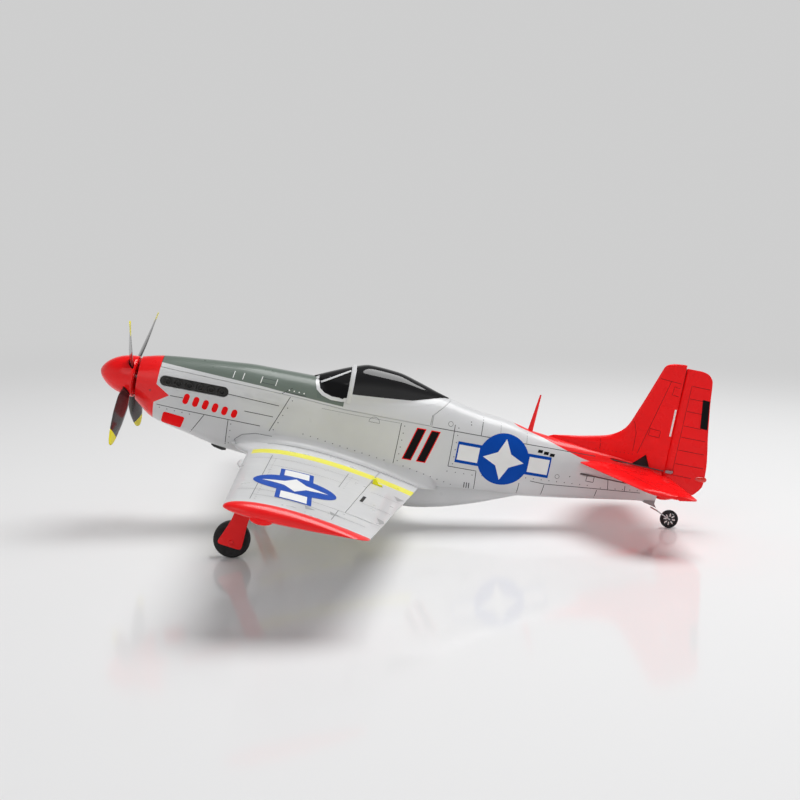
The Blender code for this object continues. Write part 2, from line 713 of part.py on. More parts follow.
def stabilizer():
    body = stabilizer_body("stabilizer", 0.0, RED)
    rings = []
    for y in (-110.0, 0.0, 110.0):
        radius = elevator_nose(min(abs(y), STAB_HALF_SPAN)) + 0.35
        rings.append([Vector((ELEVATOR_HINGE + radius * math.cos(2 * math.pi * k / 20), y,
                              radius * math.sin(2 * math.pi * k / 20))) for k in range(20)])
    boolean(body, loft("elevator_groove", rings))
    start, end = rudder_rod_line()
    boolean(body, rod("rudder_rod_space", [start + (start - end).normalized() * 9, end], 1.3, 10))
    return body


def elevator_ring(y, side):
    nose = elevator_nose(y)
    u = y / STAB_HALF_SPAN
    back = ELEVATOR_TE - 5.0 * max(0.0, (u - 0.93) / 0.07) ** 2
    ring = []
    for k in range(5):
        turn = math.pi - math.pi / 2 * k / 4
        ring.append((ELEVATOR_HINGE + nose * math.cos(turn), nose * math.sin(turn)))
    for k in range(1, 4):
        t = k / 3
        ring.append((ELEVATOR_HINGE + (back - ELEVATOR_HINGE) * t, nose * (1 - t) + 0.4 * t))
    upper = [Vector((x, side * y, z)) for x, z in ring]
    lower = [Vector((x, side * y, -z)) for x, z in reversed(ring[1:])]
    return upper + lower


def elevator():
    parts = []
    for word, side in (("left", -1), ("right", 1)):
        spans = [ELEVATOR_IN, 40.0, 70.0, 89.0, 93.0, STAB_HALF_SPAN]
        half = loft("elevator_" + word, [elevator_ring(y, side) for y in spans], RED)
        hole = [(ELEVATOR_HINGE, side * 5.0, 0), (ELEVATOR_HINGE, side * 21.0, 0)]
        boolean(half, rod("joiner_hole", hole, 0.95, 10))
        parts.append(half)
    horn_slot = box("horn_slot", (447.1, -16.6, -4.2), (451.6, -14.4, -1.4))
    boolean(parts[0], horn_slot)
    outline = [(447.7, -1.9), (451.2, -1.9), (450.6, -4.0), (447.2, -9.6), (445.6, -11.2),
               (444.2, -11.2), (443.9, -8.4), (448.0, -4.4)]
    parts.append(prism("elevator_horn", outline, "y", -16.3, -14.7, WHITE))
    wire = [(ELEVATOR_HINGE, -20.5, 0), (ELEVATOR_HINGE, 20.5, 0)]
    parts.append(rod("elevator_joiner", wire, 0.6, 10, STEEL))
    return parts


def tail_gear():
    x, _, z = TAIL_AXLE
    outline = [(446.0, -20.0), (455.0, -20.0), (455.0, -23.6), (457.2, -26.6), (453.5, -25.6),
               (446.0, -23.9)]
    bracket = prism("tail_bracket", outline, "y", -2.4, 2.4, GREY)
    boolean(bracket, outside())
    path = bent([(453.0, -0.4, -21.8 - 5.2), (457.8, -3.1, -28.4), (x, -3.1, z), (x, 2.9, z)], 1.2)
    wire = rod("tail_wire", path, 0.6, 8, STEEL)
    boolean(bracket, rod("wire_hole", [(451, 0.6, -26.0), (457.8, -3.1, -28.4)], 0.95, 8))
    return [bracket, wire]


def wheel(word, axle, radius, width, bore, hub_radius):
    x, y, z = axle
    half = width / 2
    soft = width * 0.22
    shoulder, corner = radius - soft * 1.3, radius - soft * 0.35
    profile = [(-half, hub_radius), (-half, shoulder), (-half + soft * 0.35, corner),
               (-half + soft * 1.3, radius), (half - soft * 1.3, radius),
               (half - soft * 0.35, corner), (half, shoulder), (half, hub_radius),
               (-half, hub_radius)]
    tyre = turned(word + "_tyre", profile, axle, (0, 1, 0), 32, TYRE)
    inner = hub_radius - 0.15
    lip = half - 0.4
    rim = [(-lip - 0.6, bore), (-lip - 0.6, bore + 1.1), (-lip, inner), (lip, inner),
           (lip + 0.6, bore + 1.1), (lip + 0.6, bore), (-lip - 0.6, bore)]
    hub = turned(word + "_hub", rim, axle, (0, 1, 0), 20, WHITE)
    return [tyre, hub]


def main_gear(word, side):
    x, y, z = MAIN_AXLE
    knee = y + 6.8
    top = (LEG_TOP[0], side * LEG_TOP[1], LEG_TOP[2])
    path = bent([top, (x, side * knee, z), (x, side * (y - 5.6), z)], 2.0)
    leg = rod("main_leg_" + word, path, 1.0, 10, STEEL)
    outline = [(118.6, -92.0), (126.6, -73.3), (132.0, -43.0), (146.0, -43.0), (138.4, -71.2),
               (137.2, -94.5)]
    low, high = sorted((side * (y + 8.15), side * (y + 9.5)))
    door = prism("gear_door_" + word, outline, "y", low, high, RED)
    boss = turned("boss", [(0, 1.9), (1.6, 1.9), (2.1, 1.3)], (x, side * (y + 9.2), z - 0.6),
                  (0, side, 0), 16)
    boolean(door, boss, "UNION")
    return [leg, door]


# ---------------------------------------------------------------- power and radio
def spinner_radius(x):
    u = min(1.0, x / SPINNER_LENGTH)
    return SPINNER_RADIUS * (1 - (1 - u) ** 2.15) ** 0.63


def spinner():
    stations = [0.25, 0.9, 2.0, 3.8, 6.2, 9.5, 13.5, 18.0, 23.0, SPINNER_LENGTH]
    profile = [(0, 0)] + [(x, spinner_radius(x)) for x in stations]
    inner = [(x, spinner_radius(x) - 1.1) for x in (SPINNER_LENGTH, 23.0, 18.0, 13.5, 9.5)]
    shell = turned("spinner", profile + inner + [(9.5, 0)], (0, 0, 0), (1, 0, 0), 28, RED)
    for k in range(4):
        turn = math.radians(45 + 90 * k)
        notch = box("notch", (PROP_X - 4.4, -5.6, 9.0), (SPINNER_LENGTH + 1.0, 5.6, 24.0))
        notch.data.transform(Matrix.Rotation(turn, 4, "X"))
        boolean(shell, notch)
    return shell


def blade_section(radius, chord, pitch, side_steps=4):
    """Lens section: chord lies across the blade, its leading edge forward and into the turn."""
    thick = max(0.9, 2.6 * (1 - radius / 80.0)) / 2
    angle = math.radians(pitch)
    sweep = -1.0 * (radius / PROP_RADIUS) ** 3
    middle = PROP_X + PROP_RAKE * radius / PROP_RADIUS
    points = []
    for face in (1, -1):
        for k in range(side_steps):
            t = k / side_steps
            u = 1 - 2 * t if face > 0 else 2 * t - 1
            across = u * chord / 2 + sweep
            depth = face * thick * (1 - u * u) + 0.18 * face * (abs(u) < 1)
            turn = across * math.cos(angle) - depth * math.sin(angle)
            ahead = across * math.sin(angle) + depth * math.cos(angle)
            points.append(Vector((middle - ahead, turn, radius)))
    return points


def propeller():
    hub = turned("propeller", [(-2.6, 1.8), (-2.6, 6.6), (3.2, 6.6), (3.2, 1.8), (-2.6, 1.8)],
                 (PROP_X, 0, 0), (1, 0, 0), 20, BLACK)
    for k in range(4):
        turn = Matrix.Rotation(math.radians(45 + 90 * k), 4, "X")
        rings = [[turn @ p for p in blade_section(*row)] for row in BLADE]
        boolean(hub, loft("blade", rings), "UNION")
    return hub


def power_train():
    plate = turned("spinner_backplate", [(0, 1.8), (0, 14.6), (0.9, 14.6), (0.9, 1.8), (0, 1.8)],
                   (28.5, 0, 0), (1, 0, 0), 28, BLACK)
    nut_and_rod = [(0, 0), (0, 2.2), (1.0, 3.2), (4.2, 3.2), (4.2, 1.5), (41.0, 1.5), (41.0, 0)]
    shaft = turned("prop_shaft", nut_and_rod, (17.2, 0, 0), (1, 0, 0), 20, STEEL)
    mount = turned("motor_mount", [(0, 2.4), (0, 12.0), (2.6, 12.0), (2.6, 2.4), (0, 2.4)],
                   (39.0, 0, 0), (1, 0, 0), 24, BLACK)
    can = [(0, 1.8), (0, 8.0), (1.2, 10.8), (16.5, 10.8), (18.0, 9.6), (18.0, 1.8), (0, 1.8)]
    motor = turned("motor", can, (42.0, 0, 0), (1, 0, 0), 24, ALLOY)
    return [plate, shaft, mount, motor]


def radio():
    tray = box("battery_tray", (66, -12.5, -14.6), (182, 12.5, -13.2), WHITE)
    battery = rounded(box("battery", (70, -12.0, -12.9), (124, 12.0, -0.9), BATTERY), 1.5, 2)
    receiver = rounded(box("receiver_board", (134, -11.0, -12.9), (170, 11.0, -5.5), BOARD), 0.8)
    aileron_servo = box("aileron_servo", (186, -4.3, -43.4), (206, 4.3, -31.2), BLACK)
    boss = turned("boss", [(0, 2.6), (1.2, 2.6)], (SERVO_PIVOT.x, 0, -31.4), (0, 0, 1), 16)
    boolean(aileron_servo, boss, "UNION")
    parts = [tray, battery, receiver, aileron_servo]
    for name, pivot, cheek, direction in (("elevator_servo", ELEVATOR_PIVOT, -1.5, 1),
                                          ("rudder_servo", RUDDER_PIVOT, 2.4, 1)):
        low, high = sorted((cheek, cheek + direction * 8.4))
        body = box(name, (pivot.x - 7, low, pivot.z - 8.4), (pivot.x + 13, high, pivot.z + 8.4), BLACK)
        parts.append(body)
    return parts


def arm_outline(length, root=2.3, tip=1.2):
    """Servo arm in its own plane, from the boss at the origin to its tip."""
    points = []
    for k in range(7):
        a = math.pi + math.pi * k / 6
        points.append((root * math.cos(a), root * math.sin(a)))
    for k in range(5):
        a = math.pi * k / 4
        points.append((tip * math.cos(a), length + tip * math.sin(a)))
    return points


def servo_arms():
    reach = LINK_Y + 1.0
    outline = [(-1.2, -reach), (1.2, -reach), (2.4, 0.0), (1.2, reach), (-1.2, reach), (-2.4, 0.0)]
    outline = [(SERVO_PIVOT.x + u, v) for u, v in outline]
    double_arm = prism("aileron_servo_arm", outline, "z", -29.8, -28.8, WHITE)
    parts = [double_arm]
    for name, pivot in (("elevator_servo_arm", ELEVATOR_PIVOT), ("rudder_servo_arm", RUDDER_PIVOT)):
        shape = [(pivot.x + u, pivot.z + v) for u, v in arm_outline(ARM_LENGTH)]
        parts.append(prism(name, shape, "y", pivot.y - 0.5, pivot.y + 0.5, WHITE))
    return parts


def pushrods():
    parts = []
    start, end = elevator_rod_line()
    back = (end - start).normalized()
    parts.append(rod("elevator_pushrod", [start, end - back * 0.5], 0.5, 8, STEEL))
    start, end = rudder_rod_line()
    back = (end - start).normalized()
    parts.append(rod("rudder_pushrod", [start, end - back * 0.5], 0.5, 8, STEEL))
    for word, side in (("left", -1), ("right", 1)):
        root, _ = torque_rod_line(side)
        line = [(SERVO_PIVOT.x, side * LINK_Y, LINK_Z), (root.x + 1.0, side * LINK_Y, LINK_Z)]
        parts.append(rod("aileron_link_" + word, line, 0.5, 8, STEEL))
    return parts


# ---------------------------------------------------------------- small outside pieces
def exhaust(word, side):
    cheek = smooth(HALF_WIDTH, 75.0) - 2.7
    low, high = sorted((side * cheek, side * (cheek + 0.9)))
    body = prism("exhaust_" + word, exhaust_outline(GAP), "y", low, high, BLACK)
    for k in range(6):
        x = 55.0 + 8.4 * k
        outline = [(x - 2.2, 1.0), (x + 2.2, 1.0), (x + 2.6, 3.4), (x + 1.8, 6.0), (x - 1.8, 6.0),
                   (x - 2.6, 3.4)]
        low, high = sorted((side * (cheek + 0.3), side * (cheek + 3.0)))
        stub = prism("stub", outline, "y", low, high)
        boolean(body, stub, "UNION")
    return body


def belly_scoop():
    rings = []
    for k in range(9):
        x = 213.0 + (343.0 - 213.0) * k / 8
        half = smooth(SCOOP_HALF, x)
        bottom = smooth(SCOOP_BOTTOM, x)
        top = -34.0
        mid = (top + bottom) / 2
        ring = []
        for m in range(20):
            a = 2 * math.pi * m / 20
            s, c = math.sin(a), math.cos(a)
            ring.append(Vector((x, half * math.copysign(abs(s) ** 0.75, s),
                                mid + (top - mid) * math.copysign(abs(c) ** 0.75, c))))
        rings.append(ring)
    body = loft("belly_scoop", rings, SILVER)
    boolean(body, outside())
    for side in (-1, 1):
        boolean(body, wing_panel("wing_space", side, 1.5 * GAP, True))
    mouth = box("mouth", (205.0, -10.2, -59.6), (234.0, 10.2, -52.6))
    boolean(body, mouth)
    return body


def aerial():
    base, tip = (340.8, 345.4, 0.9), (345.2, 346.5, 0.35)
    rings = []
    for z, (front, back, half) in ((12.0, base), (46.0, tip)):
        ring = []
        for k in range(10):
            a = 2 * math.pi * k / 10
            x = (front + back) / 2 + (back - front) / 2 * math.cos(a)
            ring.append(Vector((x, half * math.sin(a), z)))
        rings.append(ring)
    mast = loft("aerial_mast", rings, RED)
    boolean(mast, outside())
    return mast


def nose_skid():
    outline = [(95.6, -38.0), (108.0, -38.0), (107.6, -44.2), (104.4, -44.8), (98.0, -43.4), (95.6, -42.0)]
    skid = prism("nose_skid", outline, "y", -3.0, 3.0, BLACK)
    boolean(skid, outside())
    return skid


# ---------------------------------------------------------------- assembly
def standing_pitch():
    """Nose-up angle at which main and tail wheels touch one floor, and that floor's depth."""
    dx = TAIL_AXLE[0] - MAIN_AXLE[0]
    dz = TAIL_AXLE[2] - MAIN_AXLE[2]
    reach = math.hypot(dx, dz)
    pitch = math.atan2(dz, dx) + math.asin((MAIN_RADIUS - TAIL_RADIUS) / reach)
    floor = MAIN_RADIUS - (MAIN_AXLE[2] * math.cos(pitch) - MAIN_AXLE[0] * math.sin(pitch))
    return pitch, floor


def move_origin(obj, point):
    """Puts the object's origin on its joint axis, with the mesh left where it is."""
    point = Vector(point)
    obj.data.transform(Matrix.Translation(-point))
    obj.location = point


ON_THRUST_LINE = ("spinner", "spinner_backplate", "propeller", "prop_shaft", "motor", "motor_mount")


def pivots():
    """Joint point of each moving piece, in the airframe's frame."""
    left, right = aileron_hinge(-1)[0], aileron_hinge(1)[0]
    main_left = (MAIN_AXLE[0], -MAIN_AXLE[1], MAIN_AXLE[2])
    rudder_point, elevator_point = (HINGE, 0, 0), (ELEVATOR_HINGE, 0, 0)
    return {
        "spinner": THRUST_PIVOT, "spinner_backplate": THRUST_PIVOT, "propeller": THRUST_PIVOT,
        "prop_shaft": THRUST_PIVOT,
        "aileron_left": left, "torque_rod_left": left, "aileron_horn_left": left,
        "aileron_right": right, "torque_rod_right": right, "aileron_horn_right": right,
        "elevator_left": elevator_point, "elevator_right": elevator_point,
        "elevator_horn": elevator_point, "elevator_joiner": elevator_point,
        "rudder": rudder_point, "rudder_horn": rudder_point,
        "left_tyre": main_left, "left_hub": main_left, "right_tyre": MAIN_AXLE, "right_hub": MAIN_AXLE,
        "tail_tyre": TAIL_AXLE, "tail_hub": TAIL_AXLE,
        "aileron_servo_arm": SERVO_PIVOT, "elevator_servo_arm": ELEVATOR_PIVOT,
        "rudder_servo_arm": RUDDER_PIVOT,
    }


def build():
    for old in list(bpy.data.objects):
        bpy.data.objects.remove(old)
    parts = [fuselage_half("fuselage_left", -1), fuselage_half("fuselage_right", 1), hatch()]
    parts += canopy()
    for word, side in (("left", -1), ("right", 1)):
        parts.append(wing_parts(word, side))
        parts += aileron_parts(word, side)
        parts += main_gear(word, side)
        parts.append(exhaust(word, side))
        axle = (MAIN_AXLE[0], side * MAIN_AXLE[1], MAIN_AXLE[2])
        parts += wheel(word, axle, MAIN_RADIUS, MAIN_WIDTH, 1.15, 4.6)
    spar = [(SPAR_X, -60.0, SPAR_Z), (SPAR_X, 60.0, SPAR_Z)]
    parts.append(rod("spar_tube", spar, 2.0, 12, CARBON))
    parts += [fin(), stabilizer()] + rudder() + elevator() + tail_gear()
    parts += wheel("tail", TAIL_AXLE, TAIL_RADIUS, TAIL_WIDTH, 0.75, 5.2)
    parts += [spinner(), propeller()] + power_train() + radio() + servo_arms() + pushrods()
    parts += [belly_scoop(), aerial(), nose_skid()]

    joint_points = pivots()
    thrust = Matrix.Translation(THRUST_PIVOT) @ Matrix.Rotation(-RIGHT_THRUST, 4, "Z")
    thrust = thrust @ Matrix.Translation(-Vector(THRUST_PIVOT))
    for part in parts:
        if part.name in ON_THRUST_LINE:
            part.data.transform(thrust)
        if part.name in joint_points:
            move_origin(part, joint_points[part.name])
        part.data.transform(Matrix.Scale(MM, 4))
        part.location *= MM
        part.data.shade_smooth()
        part.data.set_sharp_from_angle(angle=math.radians(35))

    pitch, floor = standing_pitch()
    airframe = bpy.data.objects.new("airframe", None)
    bpy.context.scene.collection.objects.link(airframe)
    airframe.rotation_euler = (0, pitch, 0)
    airframe.location = (0, 0, floor * MM)
    for part in parts:
        part.parent = airframe
    bpy.context.view_layer.update()
    ends = [(part.matrix_world @ v.co).x for part in parts for v in part.data.vertices]
    airframe.location.x = -(min(ends) + max(ends)) / 2
    return parts


build()
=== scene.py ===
"""Looks of the foam warbird: fine skins, paint, markings, panel lines, light and camera.

Skins are drawn in the airframe's own frame, in millimetres: x runs aft from the spinner
tip, y to the aeroplane's right, z up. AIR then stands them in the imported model's frame.
"""
import json
import math

import bmesh
import bpy
from mathutils import Matrix, Vector
from mathutils.bvhtree import BVHTree


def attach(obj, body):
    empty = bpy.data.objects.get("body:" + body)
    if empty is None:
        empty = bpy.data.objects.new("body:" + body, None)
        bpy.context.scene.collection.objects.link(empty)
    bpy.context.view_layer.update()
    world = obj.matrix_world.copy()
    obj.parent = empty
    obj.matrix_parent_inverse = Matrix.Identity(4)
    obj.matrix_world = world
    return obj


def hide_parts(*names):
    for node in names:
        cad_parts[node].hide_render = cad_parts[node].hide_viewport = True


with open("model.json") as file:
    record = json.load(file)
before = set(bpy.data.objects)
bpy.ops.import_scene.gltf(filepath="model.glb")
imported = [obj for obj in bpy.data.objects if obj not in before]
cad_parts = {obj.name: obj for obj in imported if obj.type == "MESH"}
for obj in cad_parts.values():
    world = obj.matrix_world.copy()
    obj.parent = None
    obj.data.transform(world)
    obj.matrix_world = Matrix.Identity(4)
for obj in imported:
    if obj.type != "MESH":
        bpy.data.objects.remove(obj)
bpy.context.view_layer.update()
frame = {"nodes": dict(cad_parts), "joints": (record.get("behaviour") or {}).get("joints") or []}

MM = 0.001
GAP = 0.3                 # clearance between neighbouring pieces
WALL = 3.5                # foam wall of the fuselage
HALF_SPAN = 280.2
SIDES = (("left", -1), ("right", 1))

# Fuselage lines: (station, value)
TOP = [(29, 16.2), (46.7, 20.4), (77, 23.6), (96, 25.2), (122, 27.0), (165, 27.0), (210, 28.0),
       (245, 29.2), (268, 29.6), (287, 26.3), (302, 23.4), (320, 21.4), (335, 18.7), (344, 16.4),
       (362, 14.4), (385, 12.4), (420, 9.4), (448, 7.0), (460, 6.2)]
BOTTOM = [(29, -16.2), (46.7, -29.4), (77, -36.9), (96, -41.3), (122, -44.4), (165, -47.8),
          (210, -49.3), (250, -48.0), (290, -43.5), (320, -40.2), (343, -37.6), (375, -33.4),
          (410, -28.2), (447, -23.2), (460, -22.4)]
HALF_WIDTH = [(29, 16.2), (46.7, 18.0), (77, 19.4), (122, 21.0), (165, 22.0), (210, 22.4),
              (250, 22.0), (290, 20.6), (320, 18.8), (343, 17.0), (375, 13.7), (410, 9.5),
              (447, 5.2), (460, 4.2)]
WAIST = [(29, 0.0), (77, -5.0), (122, -8.0), (210, -9.0), (290, -9.0), (343, -8.0), (460, -6.0)]
SQUARENESS = [(29, 2.0), (60, 2.15), (122, 2.35), (200, 2.5), (290, 2.3), (460, 2.1)]
NOSE_RING, TAIL_POST = 31.2, 455.2

# Wing
WING_LE, WING_LE_SLOPE = 126.3, 0.0022
WING_TE, WING_TE_SLOPE = 266.3, 0.188
WING_Z, DIHEDRAL = -38.5, 0.0473
INCIDENCE = math.radians(2.64)
WING_DEPTH = {1: 0.0754, -1: 0.036}    # bulge of the upper and the lower skin
GLOVE, GLOVE_END, GLOVE_FADE = 11.5, 22.0, 28.0
FAIRING_NOSE, FAIRING_TAIL = 111.0, 277.0
NOSE_TAPER, TAIL_TAPER = 22.0, 21.0
TIP_START = 271.5
AILERON_IN, AILERON_OUT = 69.5, 226.0
HINGE_X, HINGE_SLOPE = 233.4, 0.1479
BEVEL = math.radians(13.0)

# Canopy
CANOPY_TOP = [(165.4, 27.4), (181, 34.6), (195.7, 40.5), (208, 43.8), (230, 42.4), (249, 37.5),
              (263, 33.0), (274.5, 29.6)]
CANOPY_HALF = [(165.4, 0.6), (169, 9.4), (174, 14.0), (183, 17.8), (192, 18.9), (205, 18.9),
               (220, 18.0), (238, 15.4), (252, 11.9), (264, 7.2), (274.5, 0.5)]
CANOPY_SILL = [(165.4, 26.4), (169, 20.5), (174, 16.2), (183, 13.8), (192, 15.2), (198, 19.6),
               (246, 24.2), (274.5, 29.0)]

# Hatch seam in side view
HATCH_SEAM = [(47.6, 13.2), (126, 11.3), (158, 10.1), (192, 7.9), (263, 7.6), (263, 16.2),
              (277.8, 31)]

# Belly scoop
SCOOP_BOTTOM = [(212, -59.0), (222, -61.8), (240, -62.6), (257, -62.3), (279, -58.8), (307, -50.7),
                (343, -36.8)]
SCOOP_HALF = [(212, 13.6), (257, 14.0), (307, 12.2), (343, 8.0)]

# Tail
HINGE = 459.5             # rudder hinge line
FIN_LE = [(12.0, 356.0), (16.0, 361.0), (19.5, 383.0), (25.6, 409.0), (34.1, 419.7), (47.9, 425.5),
          (87.0, 439.4)]
FIN_TOP = 91.5
RUDDER_TE = [(-19.0, 464.0), (-15.0, 476.0), (-9.8, 486.2), (-0.9, 491.4), (6.7, 491.3),
             (42.8, 485.6), (66.3, 482.0), (78.0, 480.7), (82.6, 479.9), (86.0, 477.6), (88.2, 474.2),
             (89.0, 470.0)]
ELEVATOR_HINGE = 446.0
ELEVATOR_TE = 460.4
STAB_HALF_SPAN = 95.5
ELEVATOR_IN = 9.6

# Running gear
MAIN_AXLE = (128.9, 96.9, -89.4)
MAIN_RADIUS, MAIN_WIDTH = 13.4, 8.0
TAIL_AXLE = (470.3, 0.0, -33.9)
TAIL_RADIUS, TAIL_WIDTH = 7.3, 3.5

# Propeller
SPINNER_LENGTH, SPINNER_RADIUS = 28.8, 16.3
PROP_RADIUS, PROP_X, PROP_RAKE = 66.3, 24.6, 2.4
RIGHT_THRUST = math.radians(4.5)   # the motor points a little to the right
THRUST_PIVOT = (29.0, 0.0, 0.0)
# Blade stations: radius, chord, pitch in degrees
BLADE = [(4.0, 6.0, 28), (10.0, 7.0, 28), (15.0, 8.6, 28), (20.0, 12.4, 28), (28.0, 15.2, 27),
         (40.0, 15.4, 24), (51.0, 13.4, 21), (59.0, 10.8, 19), (64.0, 7.2, 18), (66.3, 3.6, 17)]

# Servo linkage
RUDDER_HORN_TIP = Vector((455.0, -7.0, 4.9))
ELEVATOR_HORN_TIP = Vector((443.0, -15.5, -9.5))
SERVO_X = 300.0           # where the pushrods end, over the servos
ROD_BORE = 1.3            # radius of the pushrods' passages
ROD_WINDOW = [(428.5, 5.2), (439.2, 15.1), (444.2, 4.6)]


# ---------------------------------------------------------------- frame
def joint(name):
    return next(j for j in frame["joints"] if j["name"] == name)


def airframe_place():
    """Pitch of the standing aeroplane, and the matrix from airframe millimetres to the frame."""
    up = Vector(joint("rudder_hinge")["axis"])
    pitch = math.atan2(up.x, up.z)
    turn = Matrix.Rotation(pitch, 4, "Y")
    hinge = Vector(joint("elevator_hinge")["pos_m"])
    place = hinge - turn @ (Vector((ELEVATOR_HINGE, 0, 0)) * MM)
    return pitch, place, Matrix.Translation(place) @ turn @ Matrix.Scale(MM, 4)


PITCH, PLACE, AIR = airframe_place()
THRUST = (Matrix.Translation(THRUST_PIVOT) @ Matrix.Rotation(-RIGHT_THRUST, 4, "Z")
          @ Matrix.Translation(-Vector(THRUST_PIVOT)))


# ---------------------------------------------------------------- mesh helpers
def smooth(table, x):
    """Monotone cubic curve through the table's points."""
    xs = [p[0] for p in table]
    vs = [p[1] for p in table]
    if x <= xs[0]:
        return vs[0]
    if x >= xs[-1]:
        return vs[-1]
    slope = [(vs[i + 1] - vs[i]) / (xs[i + 1] - xs[i]) for i in range(len(xs) - 1)]
    tangent = [slope[0]]
    for before, after in zip(slope, slope[1:]):
        tangent.append(0.0 if before * after <= 0 else 2 * before * after / (before + after))
    tangent.append(slope[-1])
    i = next(k for k in range(len(xs) - 1) if x <= xs[k + 1])
    h = xs[i + 1] - xs[i]
    t = (x - xs[i]) / h
    return (vs[i] * (1 + 2 * t) * (1 - t) ** 2 + tangent[i] * h * t * (1 - t) ** 2
            + vs[i + 1] * t * t * (3 - 2 * t) + tangent[i + 1] * h * t * t * (t - 1))


def ramp(x, low, high):
    t = min(1.0, max(0.0, (x - low) / (high - low)))
    return t * t * (3 - 2 * t)


def round_turns(count):
    """Cosine and sine of count even turns of a circle."""
    turns = [2 * math.pi * k / count for k in range(count)]
    return [(math.cos(a), math.sin(a)) for a in turns]


def bezier(start, corner, end, t):
    return start * (1 - t) ** 2 + corner * 2 * t * (1 - t) + end * t * t


def add_object(name, bm):
    bmesh.ops.remove_doubles(bm, verts=bm.verts, dist=0.0005)
    bmesh.ops.recalc_face_normals(bm, faces=bm.faces)
    return plain_object(name, bm)


def plain_object(name, bm):
    mesh = bpy.data.meshes.new(name)
    bm.to_mesh(mesh)
    bm.free()
    obj = bpy.data.objects.new(name, mesh)
    bpy.context.scene.collection.objects.link(obj)
    return obj


def bridge(bm, a, b):
    """Band of faces between two closed rows; a row of one point makes a fan."""
    count = max(len(a), len(b))
    for k in range(count):
        m = (k + 1) % count
        if len(a) == 1:
            bm.faces.new((a[0], b[k], b[m]))
        elif len(b) == 1:
            bm.faces.new((a[k], a[m], b[0]))
        else:
            bm.faces.new((a[k], a[m], b[m], b[k]))


def loft(name, rings):
    """Closed solid through rings of equal point count, with flat end caps."""
    bm = bmesh.new()
    rows = [[bm.verts.new(p) for p in ring] for ring in rings]
    for a, b in zip(rows, rows[1:]):
        bridge(bm, a, b)
    bm.faces.new(rows[0])
    bm.faces.new(rows[-1])
    return add_object(name, bm)


def prism(name, outline, low, high):
    """Side-view outline of (x, z) points pushed across from y = low to y = high."""
    return loft(name, [[(x, y, z) for x, z in outline] for y in (low, high)])


def box(name, low, high):
    (x0, y0, z0), (x1, y1, z1) = low, high
    return loft(name, [[(x0, y0, z), (x1, y0, z), (x1, y1, z), (x0, y1, z)] for z in (z0, z1)])


def turned(name, profile, centre, axis, sides=28):
    """Profile of (along, radius) points turned about an axis through centre."""
    direction = Vector(axis).normalized()
    side = direction.orthogonal().normalized()
    up = direction.cross(side)
    bm = bmesh.new()
    rows = []
    for along, radius in profile:
        base = Vector(centre) + direction * along
        turns = round_turns(sides) if radius else [(0.0, 0.0)]
        rows.append([bm.verts.new(base + (side * c + up * s) * radius) for c, s in turns])
    closed = profile[0] == profile[-1]
    if closed:
        rows[-1] = rows[0]
    for a, b in zip(rows, rows[1:]):
        bridge(bm, a, b)
    if not closed:
        for row in (rows[0], rows[-1]):
            if len(row) > 1:
                bm.faces.new(row)
    return add_object(name, bm)


def boolean(body, tool, operation="DIFFERENCE"):
    change = body.modifiers.new(operation.lower(), "BOOLEAN")
    change.operation = operation
    change.solver = "EXACT"
    change.object = tool
    graph = bpy.context.evaluated_depsgraph_get()
    mesh = bpy.data.meshes.new_from_object(body.evaluated_get(graph))
    body.modifiers.clear()
    old = body.data
    body.data = mesh
    bpy.data.meshes.remove(old)
    bpy.data.objects.remove(tool)
    return body


def steps(first, last, pitch):
    """Even stations from first to last, about pitch apart."""
    count = max(1, round((last - first) / pitch))
    return [first + (last - first) * k / count for k in range(count + 1)]


def mesh_copy(obj):
    bm = bmesh.new()
    bm.from_mesh(obj.data)
    return bm


def tree_of(obj):
    """Ray tree of a piece while it is still in airframe millimetres."""
    bm = mesh_copy(obj)
    tree = BVHTree.FromBMesh(bm)
    bm.free()
    return tree


def mount(obj, body, finishes, nodes=(), sharp=32.0, bevel=0.0):
    """Stands a piece drawn in airframe millimetres in the frame, on its body.

    finishes names its materials, with a space between two of them.
    """
    obj.data.transform(AIR)
    obj.data.materials.clear()
    for finish in finishes.split():
        obj.data.materials.append(MATERIALS[finish])
    obj.data.shade_smooth()
    obj.data.set_sharp_from_angle(angle=math.radians(sharp))
    if bevel:
        soften(obj, bevel)
    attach(obj, body)
    if nodes:
        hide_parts(*nodes)


def soften(obj, width):
    edge = obj.modifiers.new("soft_edges", "BEVEL")
    edge.width = width * MM
    edge.segments = 2
    edge.limit_method = "ANGLE"
    edge.angle_limit = math.radians(40)
    edge.harden_normals = False


# ---------------------------------------------------------------- surface drawing
ABOVE, ABEAM = 150.0, 120.0     # where the rays that lay drawings on a skin start


def cast(tree, origin, direction):
    place, normal, _, _ = tree.ray_cast(Vector(origin), Vector(direction))
    return None if place is None else (place, normal)


def side_view(tree, side):
    """Lays (x, z) points on a skin, seen from the left (-1) or the right (1)."""
    return lambda u, v: cast(tree, (u, side * ABEAM, v), (0, -side, 0))


def plan_view(tree, side):
    """Lays (x, span) points on a skin, seen from above."""
    return lambda u, v: cast(tree, (u, side * v, ABOVE), (0, 0, -1))


def stepped(a, b, pitch):
    """Even points from a to b, about pitch apart."""
    count = max(1, round(math.hypot(b[0] - a[0], b[1] - a[1]) / pitch))
    return [(a[0] + (b[0] - a[0]) * k / count, a[1] + (b[1] - a[1]) * k / count)
            for k in range(count + 1)]


